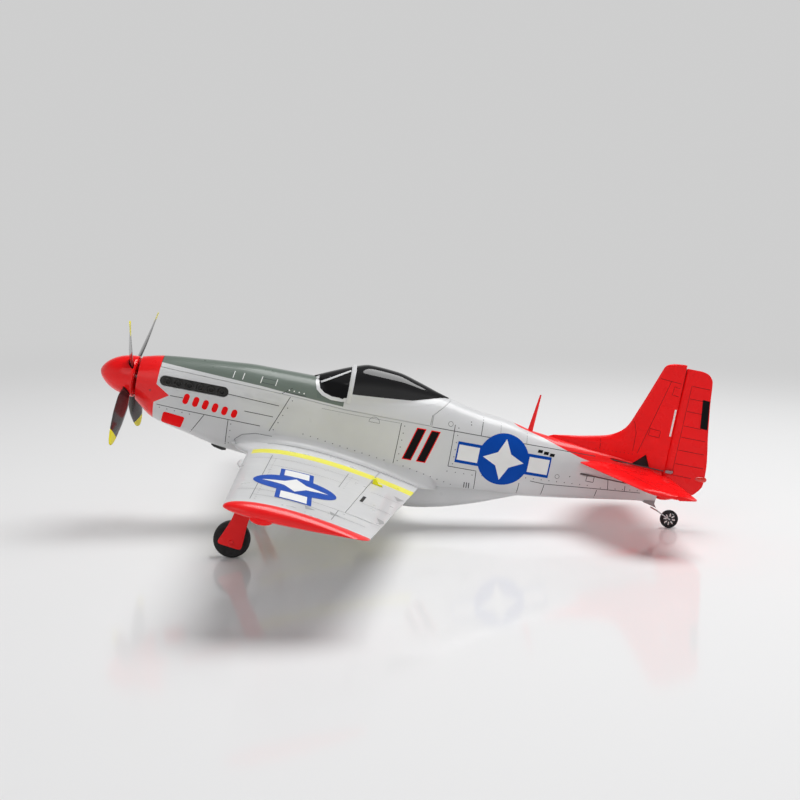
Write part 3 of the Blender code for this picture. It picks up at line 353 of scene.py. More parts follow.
def scribe(bm, hit, points, width=0.42, lift=0.04, pitch=2.0):
    """Thin ribbon along a polyline on a skin."""
    path = []
    for a, b in zip(points, points[1:]):
        path += stepped(a, b, pitch)[:-1]
    path.append(points[-1])
    found = [hit(u, v) for u, v in path]
    edges = []
    for i, spot in enumerate(found):
        if spot is None:
            edges.append(None)
            continue
        before = found[i - 1] if i and found[i - 1] else spot
        after = found[i + 1] if i + 1 < len(found) and found[i + 1] else spot
        along = after[0] - before[0]
        if along.length < 1e-6:
            edges.append(None)
            continue
        across = spot[1].cross(along).normalized() * width / 2
        base = spot[0] + spot[1] * lift
        edges.append((bm.verts.new(base - across), bm.verts.new(base + across)))
    for a, b in zip(edges, edges[1:]):
        if a and b and (a[0].co - b[0].co).length < 4 * pitch:
            bm.faces.new((a[0], b[0], b[1], a[1]))


def dots(bm, hit, points, pitch=4.0, radius=0.36, lift=0.05):
    """Row of small flat rivets along a polyline on a skin."""
    for a, b in zip(points, points[1:]):
        for spot in (hit(u, v) for u, v in stepped(a, b, pitch)):
            if spot:
                place, normal = spot
                side = normal.orthogonal().normalized()
                up = normal.cross(side)
                bm.faces.new([bm.verts.new(place + normal * lift + (side * c + up * s) * radius)
                              for c, s in round_turns(8)])


def patch(bm, hit, outline, lift, cell=2.5):
    """Painted shape laid on a skin: the outline is cut into cells, and each point dropped on."""
    flat = bmesh.new()
    flat.faces.new([flat.verts.new((u, v, 0)) for u, v in outline])
    for axis in (0, 1):
        values = [p[axis] for p in outline]
        for k in range(math.ceil(min(values) / cell), math.floor(max(values) / cell) + 1):
            place, normal = Vector((0, 0, 0)), Vector((0, 0, 0))
            place[axis], normal[axis] = k * cell, 1
            bmesh.ops.bisect_plane(flat, geom=flat.verts[:] + flat.edges[:] + flat.faces[:],
                                   plane_co=place, plane_no=normal, dist=1e-5)
    made = {}
    for vert in flat.verts:
        spot = hit(vert.co.x, vert.co.y)
        if spot:
            made[vert] = (bm.verts.new(spot[0] + spot[1] * lift), spot[1])
    for face in flat.faces:
        if all(v in made for v in face.verts):
            corners = [made[v][0] for v in face.verts]
            laid = bm.faces.new(corners)
            laid.normal_update()
            if laid.normal.dot(made[face.verts[0]][1]) < 0:
                laid.normal_flip()
    flat.free()


def circle(u, v, radius, count=48):
    return [(u + radius * c, v + radius * s) for c, s in round_turns(count)]


def capsule(u, v, length, height, lean=0.0, tilt=0.0, count=6):
    """Rounded bar about (u, v): lean shears it along u, tilt turns it."""
    points = []
    for end in (1, -1):
        for k in range(count + 1):
            a = -math.pi / 2 + math.pi * k / count
            points.append((end * (length / 2 - height / 2 + height / 2 * math.cos(a)),
                           end * height / 2 * math.sin(a)))
    return turned_points(points, u, v, lean, tilt)


def bar(u, v, length, height, lean=0.0, tilt=0.0):
    corners = [(length / 2, -height / 2), (length / 2, height / 2), (-length / 2, height / 2),
               (-length / 2, -height / 2)]
    return turned_points(corners, u, v, lean, tilt)


def turned_points(points, u, v, lean, tilt):
    c, s = math.cos(math.radians(tilt)), math.sin(math.radians(tilt))
    sheared = [(a + b * lean, b) for a, b in points]
    return [(u + a * c - b * s, v + a * s + b * c) for a, b in sheared]


# ---------------------------------------------------------------- materials
RED = (0.96, 0.006, 0.008)
SILVER = (0.68, 0.685, 0.695)
OLIVE = (0.150, 0.185, 0.160)
YELLOW = (1.0, 0.93, 0.0)
BLUE = (0.003, 0.068, 0.42)
WHITE = (0.88, 0.88, 0.87)


def feed(tree, socket, value):
    """Links another node's output to a socket, or sets the socket's own value."""
    if isinstance(value, bpy.types.NodeSocket):
        tree.links.new(value, socket)
    else:
        socket.default_value = value


def add_node(tree, kind, inputs=None, **settings):
    node = tree.nodes.new("ShaderNode" + kind)
    for key, value in settings.items():
        setattr(node, key, value)
    for key, value in (inputs or {}).items():
        feed(tree, node.inputs[key], value)
    return node


class Finish:
    """One node material, with its texture coordinates in airframe millimetres."""

    def __init__(self, name, roughness=0.4, metallic=0.0, coat=0.0, specular=0.5):
        self.material = bpy.data.materials.new(name)
        self.material.use_nodes = True
        self.tree = self.material.node_tree
        self.inputs = self.tree.nodes["Principled BSDF"].inputs
        for key, value in (("Roughness", roughness), ("Metallic", metallic), ("Coat Weight", coat),
                           ("Coat Roughness", 0.06), ("Specular IOR Level", specular)):
            self.feed(key, value)
        origin = Matrix.Rotation(-PITCH, 3, "Y") @ (PLACE * -1000.0)
        coordinates = self.node("TexCoord")
        self.place = self.node("Mapping", {
            "Scale": (1000.0, 1000.0, 1000.0), "Rotation": (0.0, -PITCH, 0.0), "Location": origin,
            "Vector": coordinates.outputs["Object"]}, vector_type="POINT").outputs["Vector"]
        self.x, self.y, self.z = self.node("SeparateXYZ", {0: self.place}).outputs

    def node(self, kind, inputs=None, **settings):
        return add_node(self.tree, kind, inputs, **settings)

    def feed(self, key, value):
        feed(self.tree, self.inputs[key], value)

    def math(self, operation, a, b=0.0):
        return self.node("Math", {0: a, 1: b}, operation=operation).outputs[0]

    def span(self, value, low, high, first=0.0, last=1.0):
        """Value mapped from low..high to first..last, and held at the ends."""
        limits = {"From Min": low, "From Max": high, "To Min": first, "To Max": last}
        return self.node("MapRange", {**limits, "Value": value}).outputs["Result"]

    def over(self, a, b, soft=0.12):
        """1 where a is greater than b, else 0."""
        return self.span(self.math("SUBTRACT", a, b), -soft, soft)

    def both(self, *masks):
        result = masks[0]
        for mask in masks[1:]:
            result = self.math("MULTIPLY", result, mask)
        return result

    def line_through(self, along, points):
        """Height of a polyline of (place, height) points over a coordinate."""
        places = [p[0] for p in points]
        heights = [p[1] for p in points]
        low, high = min(heights), max(heights)
        ramp_node = self.node("ValToRGB")
        stops = ramp_node.color_ramp.elements
        for k, (place, height) in enumerate(points):
            position = (place - places[0]) / (places[-1] - places[0])
            grey = (height - low) / (high - low)
            stop = stops[min(k, 1)] if k in (0, len(points) - 1) else stops.new(position)
            stop = stops[-1] if k == len(points) - 1 else stop
            stop.position = position
            stop.color = (grey, grey, grey, 1.0)
        feed(self.tree, ramp_node.inputs["Fac"], self.span(along, places[0], places[-1]))
        return self.span(ramp_node.outputs["Color"], 0.0, 1.0, low, high)

    def noise(self, size, detail=3.0, stretch=None):
        place = self.place
        if stretch:
            place = self.node("Mapping", {"Scale": stretch, "Vector": place}).outputs["Vector"]
        cloud = self.node("TexNoise", {"Scale": 1.0 / size, "Detail": detail, "Vector": place})
        return cloud.outputs["Fac"]

    def pebbles(self, size):
        return self.node("TexVoronoi", {"Scale": 1.0 / size, "Vector": self.place}).outputs["Distance"]

    def blend(self, factor, a, b):
        """Colour a where factor is 0, and b where it is 1."""
        a, b = ((*c, 1.0) if isinstance(c, tuple) else c for c in (a, b))
        return self.node("Mix", {"Factor": factor, "A": a, "B": b}, data_type="RGBA").outputs["Result"]

    def mottled(self, colour, amount=0.05, size=40.0):
        """Colour that drifts a little lighter and darker over the surface."""
        dark = tuple(c * (1 - amount) for c in colour)
        light = tuple(min(1.0, c * (1 + amount)) for c in colour)
        return self.blend(self.span(self.noise(size), 0.35, 0.65), dark, light)

    def colour(self, socket):
        self.feed("Base Color", socket)

    def vary_roughness(self, low, high, size=12.0):
        self.feed("Roughness", self.span(self.noise(size), 0.3, 0.7, low, high))

    def bump(self, height, distance):
        normal = self.node("Bump", {"Strength": 1.0, "Distance": distance * MM, "Height": height})
        self.feed("Normal", normal.outputs["Normal"])
        if self.inputs["Coat Weight"].default_value:
            self.feed("Coat Normal", normal.outputs["Normal"])

    def foam_skin(self, bead=3.2, depth=0.012):
        """The faint pebble that moulded foam shows through its paint."""
        soft = self.span(self.pebbles(bead), 0.0, 0.8)
        fine = self.math("MULTIPLY", self.noise(0.6, 2.0), 0.35)
        self.bump(self.math("ADD", soft, fine), depth)


def foam_paint(name, colour, zones=(), roughness=(0.27, 0.38), drift=0.035, **shader):
    """Painted foam; each zone is a (mask maker, colour) pair laid over the last."""
    finish = Finish(name, **shader)
    base = finish.mottled(colour, drift)
    for mask, tint in zones:
        base = finish.blend(mask(finish), base, finish.mottled(tint, drift))
    finish.colour(base)
    finish.vary_roughness(*roughness)
    finish.foam_skin()
    return finish.material


def cowl_band(finish):
    """Red nose, whose rear edge steps back into one point on each side."""
    edge = [(-40.0, 47.2), (-14.6, 46.9), (-7.1, 58.1), (-0.2, 47.1), (40.0, 48.2)]
    return finish.over(finish.line_through(finish.z, edge), finish.x)


def red_spine(finish):
    edge = [(320.0, 24.0), (333.0, 18.2), (354.0, 13.3), (384.0, 4.1), (398.0, 1.2), (456.0, 0.2)]
    return finish.both(finish.over(finish.z, finish.line_through(finish.x, edge)),
                       finish.over(finish.x, 321.0))


def soot(finish):
    """Thin exhaust stain that trails aft of the stubs."""
    smoke = finish.span(finish.noise(6.0, 4.0, (0.35, 1.0, 1.0)), 0.42, 0.75)
    high = finish.span(finish.z, -3.0, 2.0)
    low = finish.span(finish.z, 10.5, 6.5)
    ahead = finish.span(finish.x, 96.0, 112.0)
    behind = finish.span(finish.x, 175.0, 110.0)
    return finish.math("MULTIPLY", finish.both(high, low, ahead, behind, smoke), 0.35)


def anti_glare(finish):
    edge = [(40.0, 16.9), (48.0, 16.5), (125.7, 13.6), (157.6, 11.5), (200.0, 9.4)]
    return finish.both(finish.over(finish.z, finish.line_through(finish.x, edge)),
                       finish.over(192.0, finish.x))


def red_tip(finish):
    return finish.over(finish.math("ABSOLUTE", finish.y), TIP_START)


def wing_stripe(finish):
    span = finish.math("ABSOLUTE", finish.y)
    return finish.both(finish.over(span, 54.0), finish.over(74.5, span), finish.over(finish.x, 130.5))


def even(name, colour, drift, cloud, rough, patch=12.0, grain=None, **shader):
    """One colour that drifts in clouds, a roughness that varies in patches, and perhaps a grain."""
    finish = Finish(name, **shader)
    finish.colour(finish.mottled(colour, drift, cloud))
    finish.vary_roughness(*rough, patch)
    if grain:
        size, detail, depth = grain
        finish.bump(finish.noise(size, detail), depth)
    return finish.material


def gloss(name, colour, roughness=0.16, coat=0.5, specular=0.3):
    return even(name, colour, 0.02, 25.0, (roughness, roughness + 0.06), coat=coat, specular=specular)


def plain_paint(name, colour, roughness=0.35, drift=0.03, coat=0.0, specular=0.2):
    return even(name, colour, drift, 15.0, (roughness - 0.04, roughness + 0.06), coat=coat,
                specular=specular)


def moulded(name, colour, roughness=0.42, depth=0.01):
    """Injection-moulded plastic with a fine spark-eroded grain."""
    return even(name, colour, 0.04, 8.0, (roughness - 0.05, roughness + 0.08), 5.0, (0.25, 4.0, depth))


def drawn_wire(name, colour, roughness=0.26):
    finish = Finish(name, metallic=1.0)
    finish.colour(finish.mottled(colour, 0.08, 6.0))
    streaks = finish.noise(0.35, 3.0, (0.06, 1.0, 1.0))
    finish.feed("Roughness", finish.span(streaks, 0.3, 0.7, roughness - 0.06, roughness + 0.1))
    finish.bump(streaks, 0.006)
    return finish.material


def tyre_foam(name):
    finish = Finish(name, specular=0.35)
    finish.colour(finish.mottled((0.022, 0.022, 0.023), 0.25, 3.0))
    finish.vary_roughness(0.62, 0.82, 2.0)
    finish.bump(finish.pebbles(0.7), 0.05)
    return finish.material


def carbon_weave(name):
    finish = Finish(name, roughness=0.3, coat=0.6)
    wave = finish.node("TexWave", {"Scale": 0.5, "Distortion": 0.6, "Vector": finish.place}).outputs["Fac"]
    finish.colour(finish.blend(wave, (0.015, 0.015, 0.016), (0.05, 0.05, 0.052)))
    finish.bump(wave, 0.02)
    return finish.material


def shrink_wrap(name, colour, band, low, high):
    """Heat-shrunk sleeve with one printed band between two stations."""
    finish = Finish(name, coat=0.4)
    print_band = finish.both(finish.over(finish.x, low), finish.over(high, finish.x))
    finish.colour(finish.blend(print_band, finish.mottled(colour, 0.05, 9.0), band))
    finish.vary_roughness(0.2, 0.34, 5.0)
    finish.bump(finish.noise(3.5, 2.0), 0.12)
    return finish.material


MATERIALS = {
    "fuselage": foam_paint("silver_fuselage", SILVER, [(soot, (0.16, 0.15, 0.145)), (cowl_band, RED),
                                                       (red_spine, RED)], coat=0.3, specular=0.35),
    "silver": foam_paint("silver_paint", SILVER, coat=0.3, specular=0.35),
    "hatch": foam_paint("hatch_paint", SILVER, [(anti_glare, OLIVE)], coat=0.2, specular=0.3),
    "wing": foam_paint("wing_paint", SILVER, [(wing_stripe, YELLOW), (red_tip, RED)], coat=0.3,
                       specular=0.35),
    "red_foam": foam_paint("red_foam_paint", RED, roughness=(0.24, 0.34), coat=0.06, specular=0.2),
    "red_gloss": gloss("red_gloss_plastic", RED, 0.12, 0.35, specular=0.2),
    "canopy": even("smoked_canopy_plastic", (0.012, 0.012, 0.013), 0.1, 30.0, (0.04, 0.08), 20.0,
                   roughness=0.05, coat=0.12, specular=0.35),
    "trim": plain_paint("silver_trim_paint", (0.70, 0.705, 0.715), 0.26, 0.03, 0.3, 0.4),
    "black": moulded("moulded_black_plastic", (0.02, 0.02, 0.021), 0.38),
    "blade": gloss("gloss_black_blade", (0.028, 0.028, 0.030), 0.2, 0.7, specular=0.6),
    "blade_tip": gloss("yellow_blade_tip", (0.86, 0.76, 0.02), 0.22, 0.3),
    "exhaust": moulded("sooty_black_exhaust", (0.022, 0.021, 0.02), 0.5, 0.03),
    "nylon": moulded("white_nylon", (0.78, 0.78, 0.76), 0.42),
    "yellow_nylon": moulded("yellow_nylon", YELLOW, 0.4),
    "hub": moulded("dark_wheel_hub", (0.035, 0.035, 0.037), 0.4),
    "wire": drawn_wire("spring_wire", (0.62, 0.62, 0.63)),
    "dark_wire": drawn_wire("dark_spring_wire", (0.16, 0.16, 0.165), 0.34),
    "grey_plastic": moulded("moulded_grey_plastic", (0.30, 0.30, 0.31), 0.4),
    "alloy": drawn_wire("turned_alloy", (0.66, 0.66, 0.68), 0.3),
    "tyre": tyre_foam("black_tyre_foam"),
    "carbon": carbon_weave("carbon_tube_weave"),
    "battery": shrink_wrap("battery_sleeve", (0.02, 0.06, 0.26), (0.8, 0.8, 0.8), 82.0, 108.0),
    "board": shrink_wrap("receiver_sleeve", (0.03, 0.035, 0.04), (0.55, 0.56, 0.56), 146.0, 158.0),
    "ink": plain_paint("panel_line_ink", (0.075, 0.078, 0.082), 0.5, specular=0.1),
    "rivet": plain_paint("rivet_grey", (0.19, 0.195, 0.205), 0.45, specular=0.1),
    "faint_ink": plain_paint("faint_panel_line", (0.21, 0.215, 0.225), 0.45, specular=0.1),
    "red_ink": plain_paint("red_panel_line", (0.17, 0.004, 0.004), 0.4),
    # Near-black painted shade, laid in the fin's rod window and along the aileron's slit
    "seam": plain_paint("seam_shadow", (0.03, 0.03, 0.031), 0.6),
    "mark_blue": plain_paint("blue_marking", BLUE, 0.4, 0.03, specular=0.06),
    # White paint for markings and spokes; also the painted highlight by the fin's hinge slot
    "mark_white": plain_paint("white_marking_and_highlight", WHITE, 0.35, 0.02),
    "mark_black": plain_paint("black_marking", (0.008, 0.008, 0.009), 0.45, 0.03, specular=0.06),
    "mark_red": plain_paint("red_marking", RED, 0.4, 0.03, specular=0.06),
    "mark_grey": plain_paint("grey_marking", (0.38, 0.385, 0.39), 0.38, 0.03),
    "lamp": gloss("red_lamp", (0.75, 0.02, 0.01), 0.08, 0.8),
}

# ---------------------------------------------------------------- shapes
def fuselage_ring(x, grow=0.0, count=96):
    top = smooth(TOP, x) + grow
    bottom = smooth(BOTTOM, x) - grow
    half = smooth(HALF_WIDTH, x) + grow
    waist = smooth(WAIST, x)
    power = 2 / smooth(SQUARENESS, x)
    ring = []
    for c, s in round_turns(count):
        height = top - waist if c > 0 else waist - bottom
        ring.append(Vector((x, half * math.copysign(abs(s) ** power, s),
                            waist + height * math.copysign(abs(c) ** power, c))))
    return ring


def fuselage_body(name, grow=0.0):
    return loft(name, [fuselage_ring(x, grow) for x in steps(NOSE_RING, TAIL_POST, 4.0)])


def cavity():
    return loft("cavity", [fuselage_ring(x, -WALL, 48) for x in steps(37.5, 376.0, 8.0)])


def hatch_zone(shrink):
    """Side-view region of the hatch, pulled in from its seam by shrink."""
    seam = [(x, z + shrink) for x, z in HATCH_SEAM]
    seam[0] = (seam[0][0] + shrink, seam[0][1])
    seam[4] = (seam[4][0] - shrink, seam[4][1])
    seam[5] = (seam[5][0] - shrink, seam[5][1])
    outline = seam + [(seam[-1][0] - shrink, 60.0), (seam[0][0], 60.0)]
    return prism("hatch_zone", outline, -40.0, 40.0)


def fairing_swell(x):
    """Share of the root fairing's full section: 1 along the wing, 0 at its two points."""
    reach = max((FAIRING_NOSE + NOSE_TAPER - x) / NOSE_TAPER,
                (x - FAIRING_TAIL + TAIL_TAPER) / TAIL_TAPER, 0.0)
    return math.sqrt(max(0.0, 1 - reach * reach))


def wing_fillet(side):
    """Concave root fairing from the fuselage side down to the wing's upper skin."""
    rings = []
    for k in range(61):
        share = (1 - math.cos(math.pi * (0.04 + 0.92 * k / 60))) / 2
        x = FAIRING_NOSE + (FAIRING_TAIL - FAIRING_NOSE) * share
        swell = fairing_swell(x)
        reach = 25.0 + 3.5 * math.sin(math.pi * share)
        on_wing = min(max(x, 130.0), 262.0)
        skin = wing_height(on_wing, reach, 1) + 0.9
        core = chord_plane(on_wing, reach)
        inner = smooth(HALF_WIDTH, x) - 2.5
        rise = 11.0 + 4.0 * math.sin(math.pi * share)
        curve = [(bezier(inner, inner + 1.5, reach, m / 12), bezier(skin + rise, skin + 0.8, skin, m / 12))
                 for m in range(13)]
        curve += [(reach, core), (inner - 5, core), (inner - 5, skin + rise)]
        rings.append([(x, side * (inner - 5 + (y - inner + 5) * swell), core + (z - core) * swell)
                      for y, z in curve])
    return loft("wing_fillet", rings)


def exhaust_outline(shrink=0.0):
    """Stadium of the exhaust opening in side view."""
    middle, radius = 3.6, 4.0 - shrink
    points = []
    for end, start in ((52.9, math.pi / 2), (98.8, -math.pi / 2)):
        for k in range(17):
            a = start + math.pi * k / 16
            points.append((end + radius * math.cos(a), middle + radius * math.sin(a)))
    return points


def rod_bore(name, tip, across, rise, past=0.0):
    """Passage of the pushrod that leaves its horn's tip forward, opened a little past the tip."""
    ahead = Vector((-1.0, across, rise))
    end = tip + ahead * (tip.x - SERVO_X)
    start = tip + (tip - end).normalized() * past
    return turned(name, [(0, ROD_BORE), ((end - start).length, ROD_BORE)], start, end - start, 16)


def rod_window():
    """Triangular opening in the left side of the fin root for the rudder rod."""
    return prism("rod_window", ROD_WINDOW, -14.0, -1.4)


def canopy_ring(x, grow=0.0):
    half = smooth(CANOPY_HALF, x) + grow
    sill = smooth(CANOPY_SILL, x)
    height = smooth(CANOPY_TOP, x) - sill + grow
    skirt = 9.0
    arch = [Vector((x, -half * math.cos(a), sill + height * math.sin(a) ** 0.86))
            for a in (math.pi * k / 32 for k in range(33))]
    return [Vector((x, -half, sill - skirt)), *arch, Vector((x, half, sill - skirt))]


def hinge_x(y):
    return HINGE_X - HINGE_SLOPE * y


def chord_ends(y):
    return WING_LE + WING_LE_SLOPE * y, WING_TE - WING_TE_SLOPE * y


def chord_plane(x, y):
    le, te = chord_ends(y)
    return WING_Z + DIHEDRAL * y - (x - le - 0.25 * (te - le)) * math.tan(INCIDENCE)


def wing_height(x, y, upper):
    """Height of the skin at (x, y), upper 1 or lower -1, inboard of the tip cap."""
    le, te = chord_ends(y)
    s = min(1.0, max(0.0, (x - le) / (te - le)))
    bulge = 2.6 * math.sqrt(s) * (1 - s) * (te - le)
    return chord_plane(x, y) + upper * (WING_DEPTH[upper] * bulge + 0.35 * s)


def wing_ring(y, side, count=34):
    """Wing section at span y: upper skin from trailing to leading edge, then the lower."""
    le, te = chord_ends(y)
    chord = te - le
    cap = max(0.0, (y - TIP_START) / (HALF_SPAN - TIP_START))
    thin = math.sqrt(max(0.0, 1 - cap * cap))
    rounding = 1 - (1 - cap ** 2.6) ** 0.5
    front = le + 0.30 * chord * rounding
    back = te - 0.10 * chord * rounding
    glove = GLOVE * (1 - ramp(y, GLOVE_END, GLOVE_END + GLOVE_FADE))
    ring = []
    for upper in (1, -1):
        for k in range(count if upper > 0 else count + 1):
            turn = math.pi * k / count
            s = 0.5 + 0.5 * math.cos(turn) if upper > 0 else 0.5 - 0.5 * math.cos(turn)
            x = front + s * (back - front)
            bulge = 2.6 * math.sqrt(s) * (1 - s) * (te - le) * thin
            z = chord_plane(x, y) + upper * (WING_DEPTH[upper] * bulge + 0.35 * s * thin)
            x -= glove * max(0.0, 1 - s / 0.35) ** 2
            ring.append(Vector((x, side * y, z)))
    return ring


def aileron_hinge(side):
    """Two points on the aileron's hinge axis, inner then outer."""
    return [Vector((hinge_x(y), side * y, wing_height(hinge_x(y), y, 1) - 0.35))
            for y in (AILERON_IN, AILERON_OUT)]


def aileron_cut(name, side, offset, inner, outer):
    """Prism behind the bevelled hinge face. A positive offset cuts forward of the axis."""
    lean = math.tan(BEVEL)
    up, down = 15.0, 25.0
    rings = []
    for y in (inner, outer):
        x = hinge_x(y) - offset
        z = wing_height(x, y, 1) - 0.35
        toe = x - lean * down if offset > 0 else x + lean * down
        rings.append([(x, side * y, z + up), (x, side * y, z), (toe, side * y, z - down),
                      (x + 90, side * y, z - down), (x + 90, side * y, z + up)])
    return loft(name, rings)


def torque_rod_line(side):
    inner, outer = aileron_hinge(side)
    ahead = (outer - inner).normalized()
    reach = (abs(inner.y) - 10.0) / abs(ahead.y)
    return inner - ahead * reach, inner + ahead * 14.0


def rod_space(name, side, tip):
    """Slot in the aileron's face that takes the end of the torque rod."""
    low, high = sorted((side * (AILERON_IN - 1), side * (abs(tip.y) + 0.6)))
    return box(name, (tip.x - 4, low, tip.z - 1.2), (tip.x + 3.6, high, tip.z + 4))


def horn_space(side):
    y = side * (AILERON_IN + 16.5)
    x = hinge_x(abs(y))
    z = wing_height(x + 5, abs(y), 1)
    low, high = sorted((y - side * 0.3, y + side * 3.5))
    return box("horn_space", (x - 1.0, low, z - 1.8), (x + 8.9, high, z + 6))


def fin_half_thickness(z):
    return 3.7 - 1.7 * min(1.0, max(0.0, z / FIN_TOP))


def fin_front(z):
    front = smooth(FIN_LE, z)
    over = max(0.0, z - 86.0) / (FIN_TOP - 86.0)
    return front + 14.0 * (1 - math.sqrt(max(0.0, 1 - min(1.0, over) ** 2)))


def fin_ring(z):
    front = fin_front(z)
    back = TAIL_POST + 1.2
    half = fin_half_thickness(z)
    ring = []
    for k in range(25):
        u = (k / 24) ** 1.7
        x = front + (back - front) * u
        ring.append((x, half * math.sin(math.pi / 2 * min(1.0, (u / 0.45))) ** 0.7 + 0.12))
    return [Vector((x, y, z)) for x, y in ring] + [Vector((x, -y, z)) for x, y in reversed(ring)]


def rudder_nose(z):
    return fin_half_thickness(z) - 0.25


def flap_section(hinge, nose, back, edge, turns, spans):
    """Half of a hinged surface's section: round nose, then a flat face to its trailing edge."""
    arc = [(hinge + nose * math.cos(a), nose * math.sin(a))
           for a in (math.pi - math.pi / 2 * k / turns for k in range(turns + 1))]
    flat = [(hinge + (back - hinge) * u, nose * (1 - u) + edge * u)
            for u in (k / spans for k in range(1, spans + 1))]
    return arc + flat


def rudder_ring(z):
    ring = flap_section(HINGE, rudder_nose(z), smooth(RUDDER_TE, z), 0.45, 16, 8)
    return [Vector((x, y, z)) for x, y in ring] + [Vector((x, -y, z)) for x, y in reversed(ring[1:])]


def stab_ring(y, side):
    u = abs(y) / STAB_HALF_SPAN
    front = 381.0 + 0.4537 * abs(y) * 0.95 + 14.5 * max(0.0, (u - 0.88) / 0.12) ** 2
    back = ELEVATOR_HINGE + 0.4
    half = 3.3 - 1.1 * u
    if u > 0.93:
        half *= math.sqrt(max(0.05, 1 - ((u - 0.93) / 0.075) ** 2))
    ring = []
    for upper in (1, -1):
        for k in range(21):
            t = k / 20
            s = 1 - t if upper > 0 else t
            s = s ** 1.6
            x = front + s * (back - front)
            z = half * math.sin(math.pi / 2 * min(1.0, s / 0.4)) ** 0.7 + 0.1
            if s == 0:
                continue
            ring.append(Vector((x, side * abs(y), upper * z)))
        if upper > 0:
            ring.append(Vector((front, side * abs(y), 0.0)))
    return ring


def elevator_nose(y):
    return 2.9 - 1.1 * abs(y) / STAB_HALF_SPAN


def elevator_ring(y, side):
    back = ELEVATOR_TE - 5.0 * max(0.0, (y / STAB_HALF_SPAN - 0.93) / 0.07) ** 2
    ring = flap_section(ELEVATOR_HINGE, elevator_nose(y), back, 0.4, 12, 6)
    upper = [Vector((x, side * y, z)) for x, z in ring]
    return upper + [Vector((x, side * y, -z)) for x, z in reversed(ring[1:])]


def spinner_radius(x):
    u = min(1.0, x / SPINNER_LENGTH)
    return SPINNER_RADIUS * (1 - (1 - u) ** 2.15) ** 0.63


def blade_section(radius, chord, pitch, grow=0.0):
    """Lens section: chord lies across the blade, its leading edge forward and into the turn."""
    thick = max(0.9, 2.6 * (1 - radius / 80.0)) / 2 + grow
    angle = math.radians(pitch)
    sweep = -1.0 * (radius / PROP_RADIUS) ** 3
    middle = PROP_X + PROP_RAKE * radius / PROP_RADIUS
    points = []
    for face in (1, -1):
        for k in range(14):
            t = k / 14
            u = 1 - 2 * t if face > 0 else 2 * t - 1
            across = u * chord / 2 + sweep
            depth = face * thick * (1 - u * u) + 0.18 * face * (abs(u) < 1)
            turn = across * math.cos(angle) - depth * math.sin(angle)
            ahead = across * math.sin(angle) + depth * math.cos(angle)
            points.append(Vector((middle - ahead, turn, radius)))
    return points

# ---------------------------------------------------------------- fuselage and hatch
def fuselage_skins():
    """The two moulded halves, cut from one body; returns the ray tree of the outside."""
    body = fuselage_body("fuselage_skin")
    for side in (-1, 1):
        boolean(body, wing_fillet(side), "UNION")
    outside = tree_of(body)
    boolean(body, cavity())
    boolean(body, turned("motor_opening", [(-5, 10.2), (12, 10.2)], (29, 0, 0), (1, 0, 0), 48))
    boolean(body, hatch_zone(-GAP / 2))
    depth = smooth(HALF_WIDTH, 75.0) - 3.0
    for low, high in ((depth, 40.0), (-40.0, -depth)):
        boolean(body, prism("exhaust_space", exhaust_outline(), low, high))
    boolean(body, rod_bore("elevator_rod_space", ELEVATOR_HORN_TIP, 0.083, 0.0105))
    boolean(body, rod_bore("rudder_rod_space", RUDDER_HORN_TIP, 0.045, 0.0265, 9.0))
    boolean(body, rod_window())
    for word, side in SIDES:
        half = plain_object("fuselage_skin_" + word, half_of(body, side))
        mount(half, "airframe", "fuselage", ["fuselage_" + word])
    bpy.data.objects.remove(body)
    return outside


def half_of(body, side):
    bm = mesh_copy(body)
    bmesh.ops.bisect_plane(bm, geom=bm.verts[:] + bm.edges[:] + bm.faces[:], dist=1e-4,
                           plane_co=(0, side * 0.05, 0), plane_no=(0, -side, 0), clear_outer=True)
    return bm


def hatch_deck():
    deck = fuselage_body("hatch_skin")
    outside = tree_of(deck)
    boolean(deck, cavity())
    boolean(deck, hatch_zone(GAP / 2), "INTERSECT")
    mount(deck, "hatch", "hatch", ["hatch_deck"])
    return outside


def canopy_stations():
    front, rear = [165.6, 166.2, 167.2, 168.5, 170.0, 172.5], [265.0, 269.0, 272.0, 274.0]
    return front + steps(175.0, 261.0, 3.5) + rear


def canopy():
    glass = loft("canopy_bubble", [canopy_ring(x) for x in canopy_stations()])
    outside = tree_of(glass)
    boolean(glass, fuselage_body("under", GAP))
    boolean(glass, loft("canopy_inside", [canopy_ring(x, -1.3) for x in steps(176, 264, 4)]))
    mount(glass, "hatch", "canopy", ["canopy_glass"], 50)
    bow = loft("canopy_frame_bow", [canopy_ring(x, grow) for x, grow in
               ((193.6, 0.55), (194.2, 0.95), (195.4, 1.0), (196.6, 0.95), (197.2, 0.55))])
    boolean(bow, loft("bow_space", [canopy_ring(x, 0.3) for x in steps(189, 203, 3.5)]))
    boolean(bow, fuselage_body("under", GAP))
    mount(bow, "hatch", "trim", ["canopy_bow"])
    return outside


def outermost(trees, side):
    """Side view of several skins at once: each point lands on the one that stands out furthest."""
    views = [side_view(tree, side) for tree in trees]

    def hit(u, v):
        found = [spot for spot in (view(u, v) for view in views) if spot]
        return max(found, key=lambda spot: side * spot[0].y) if found else None
    return hit


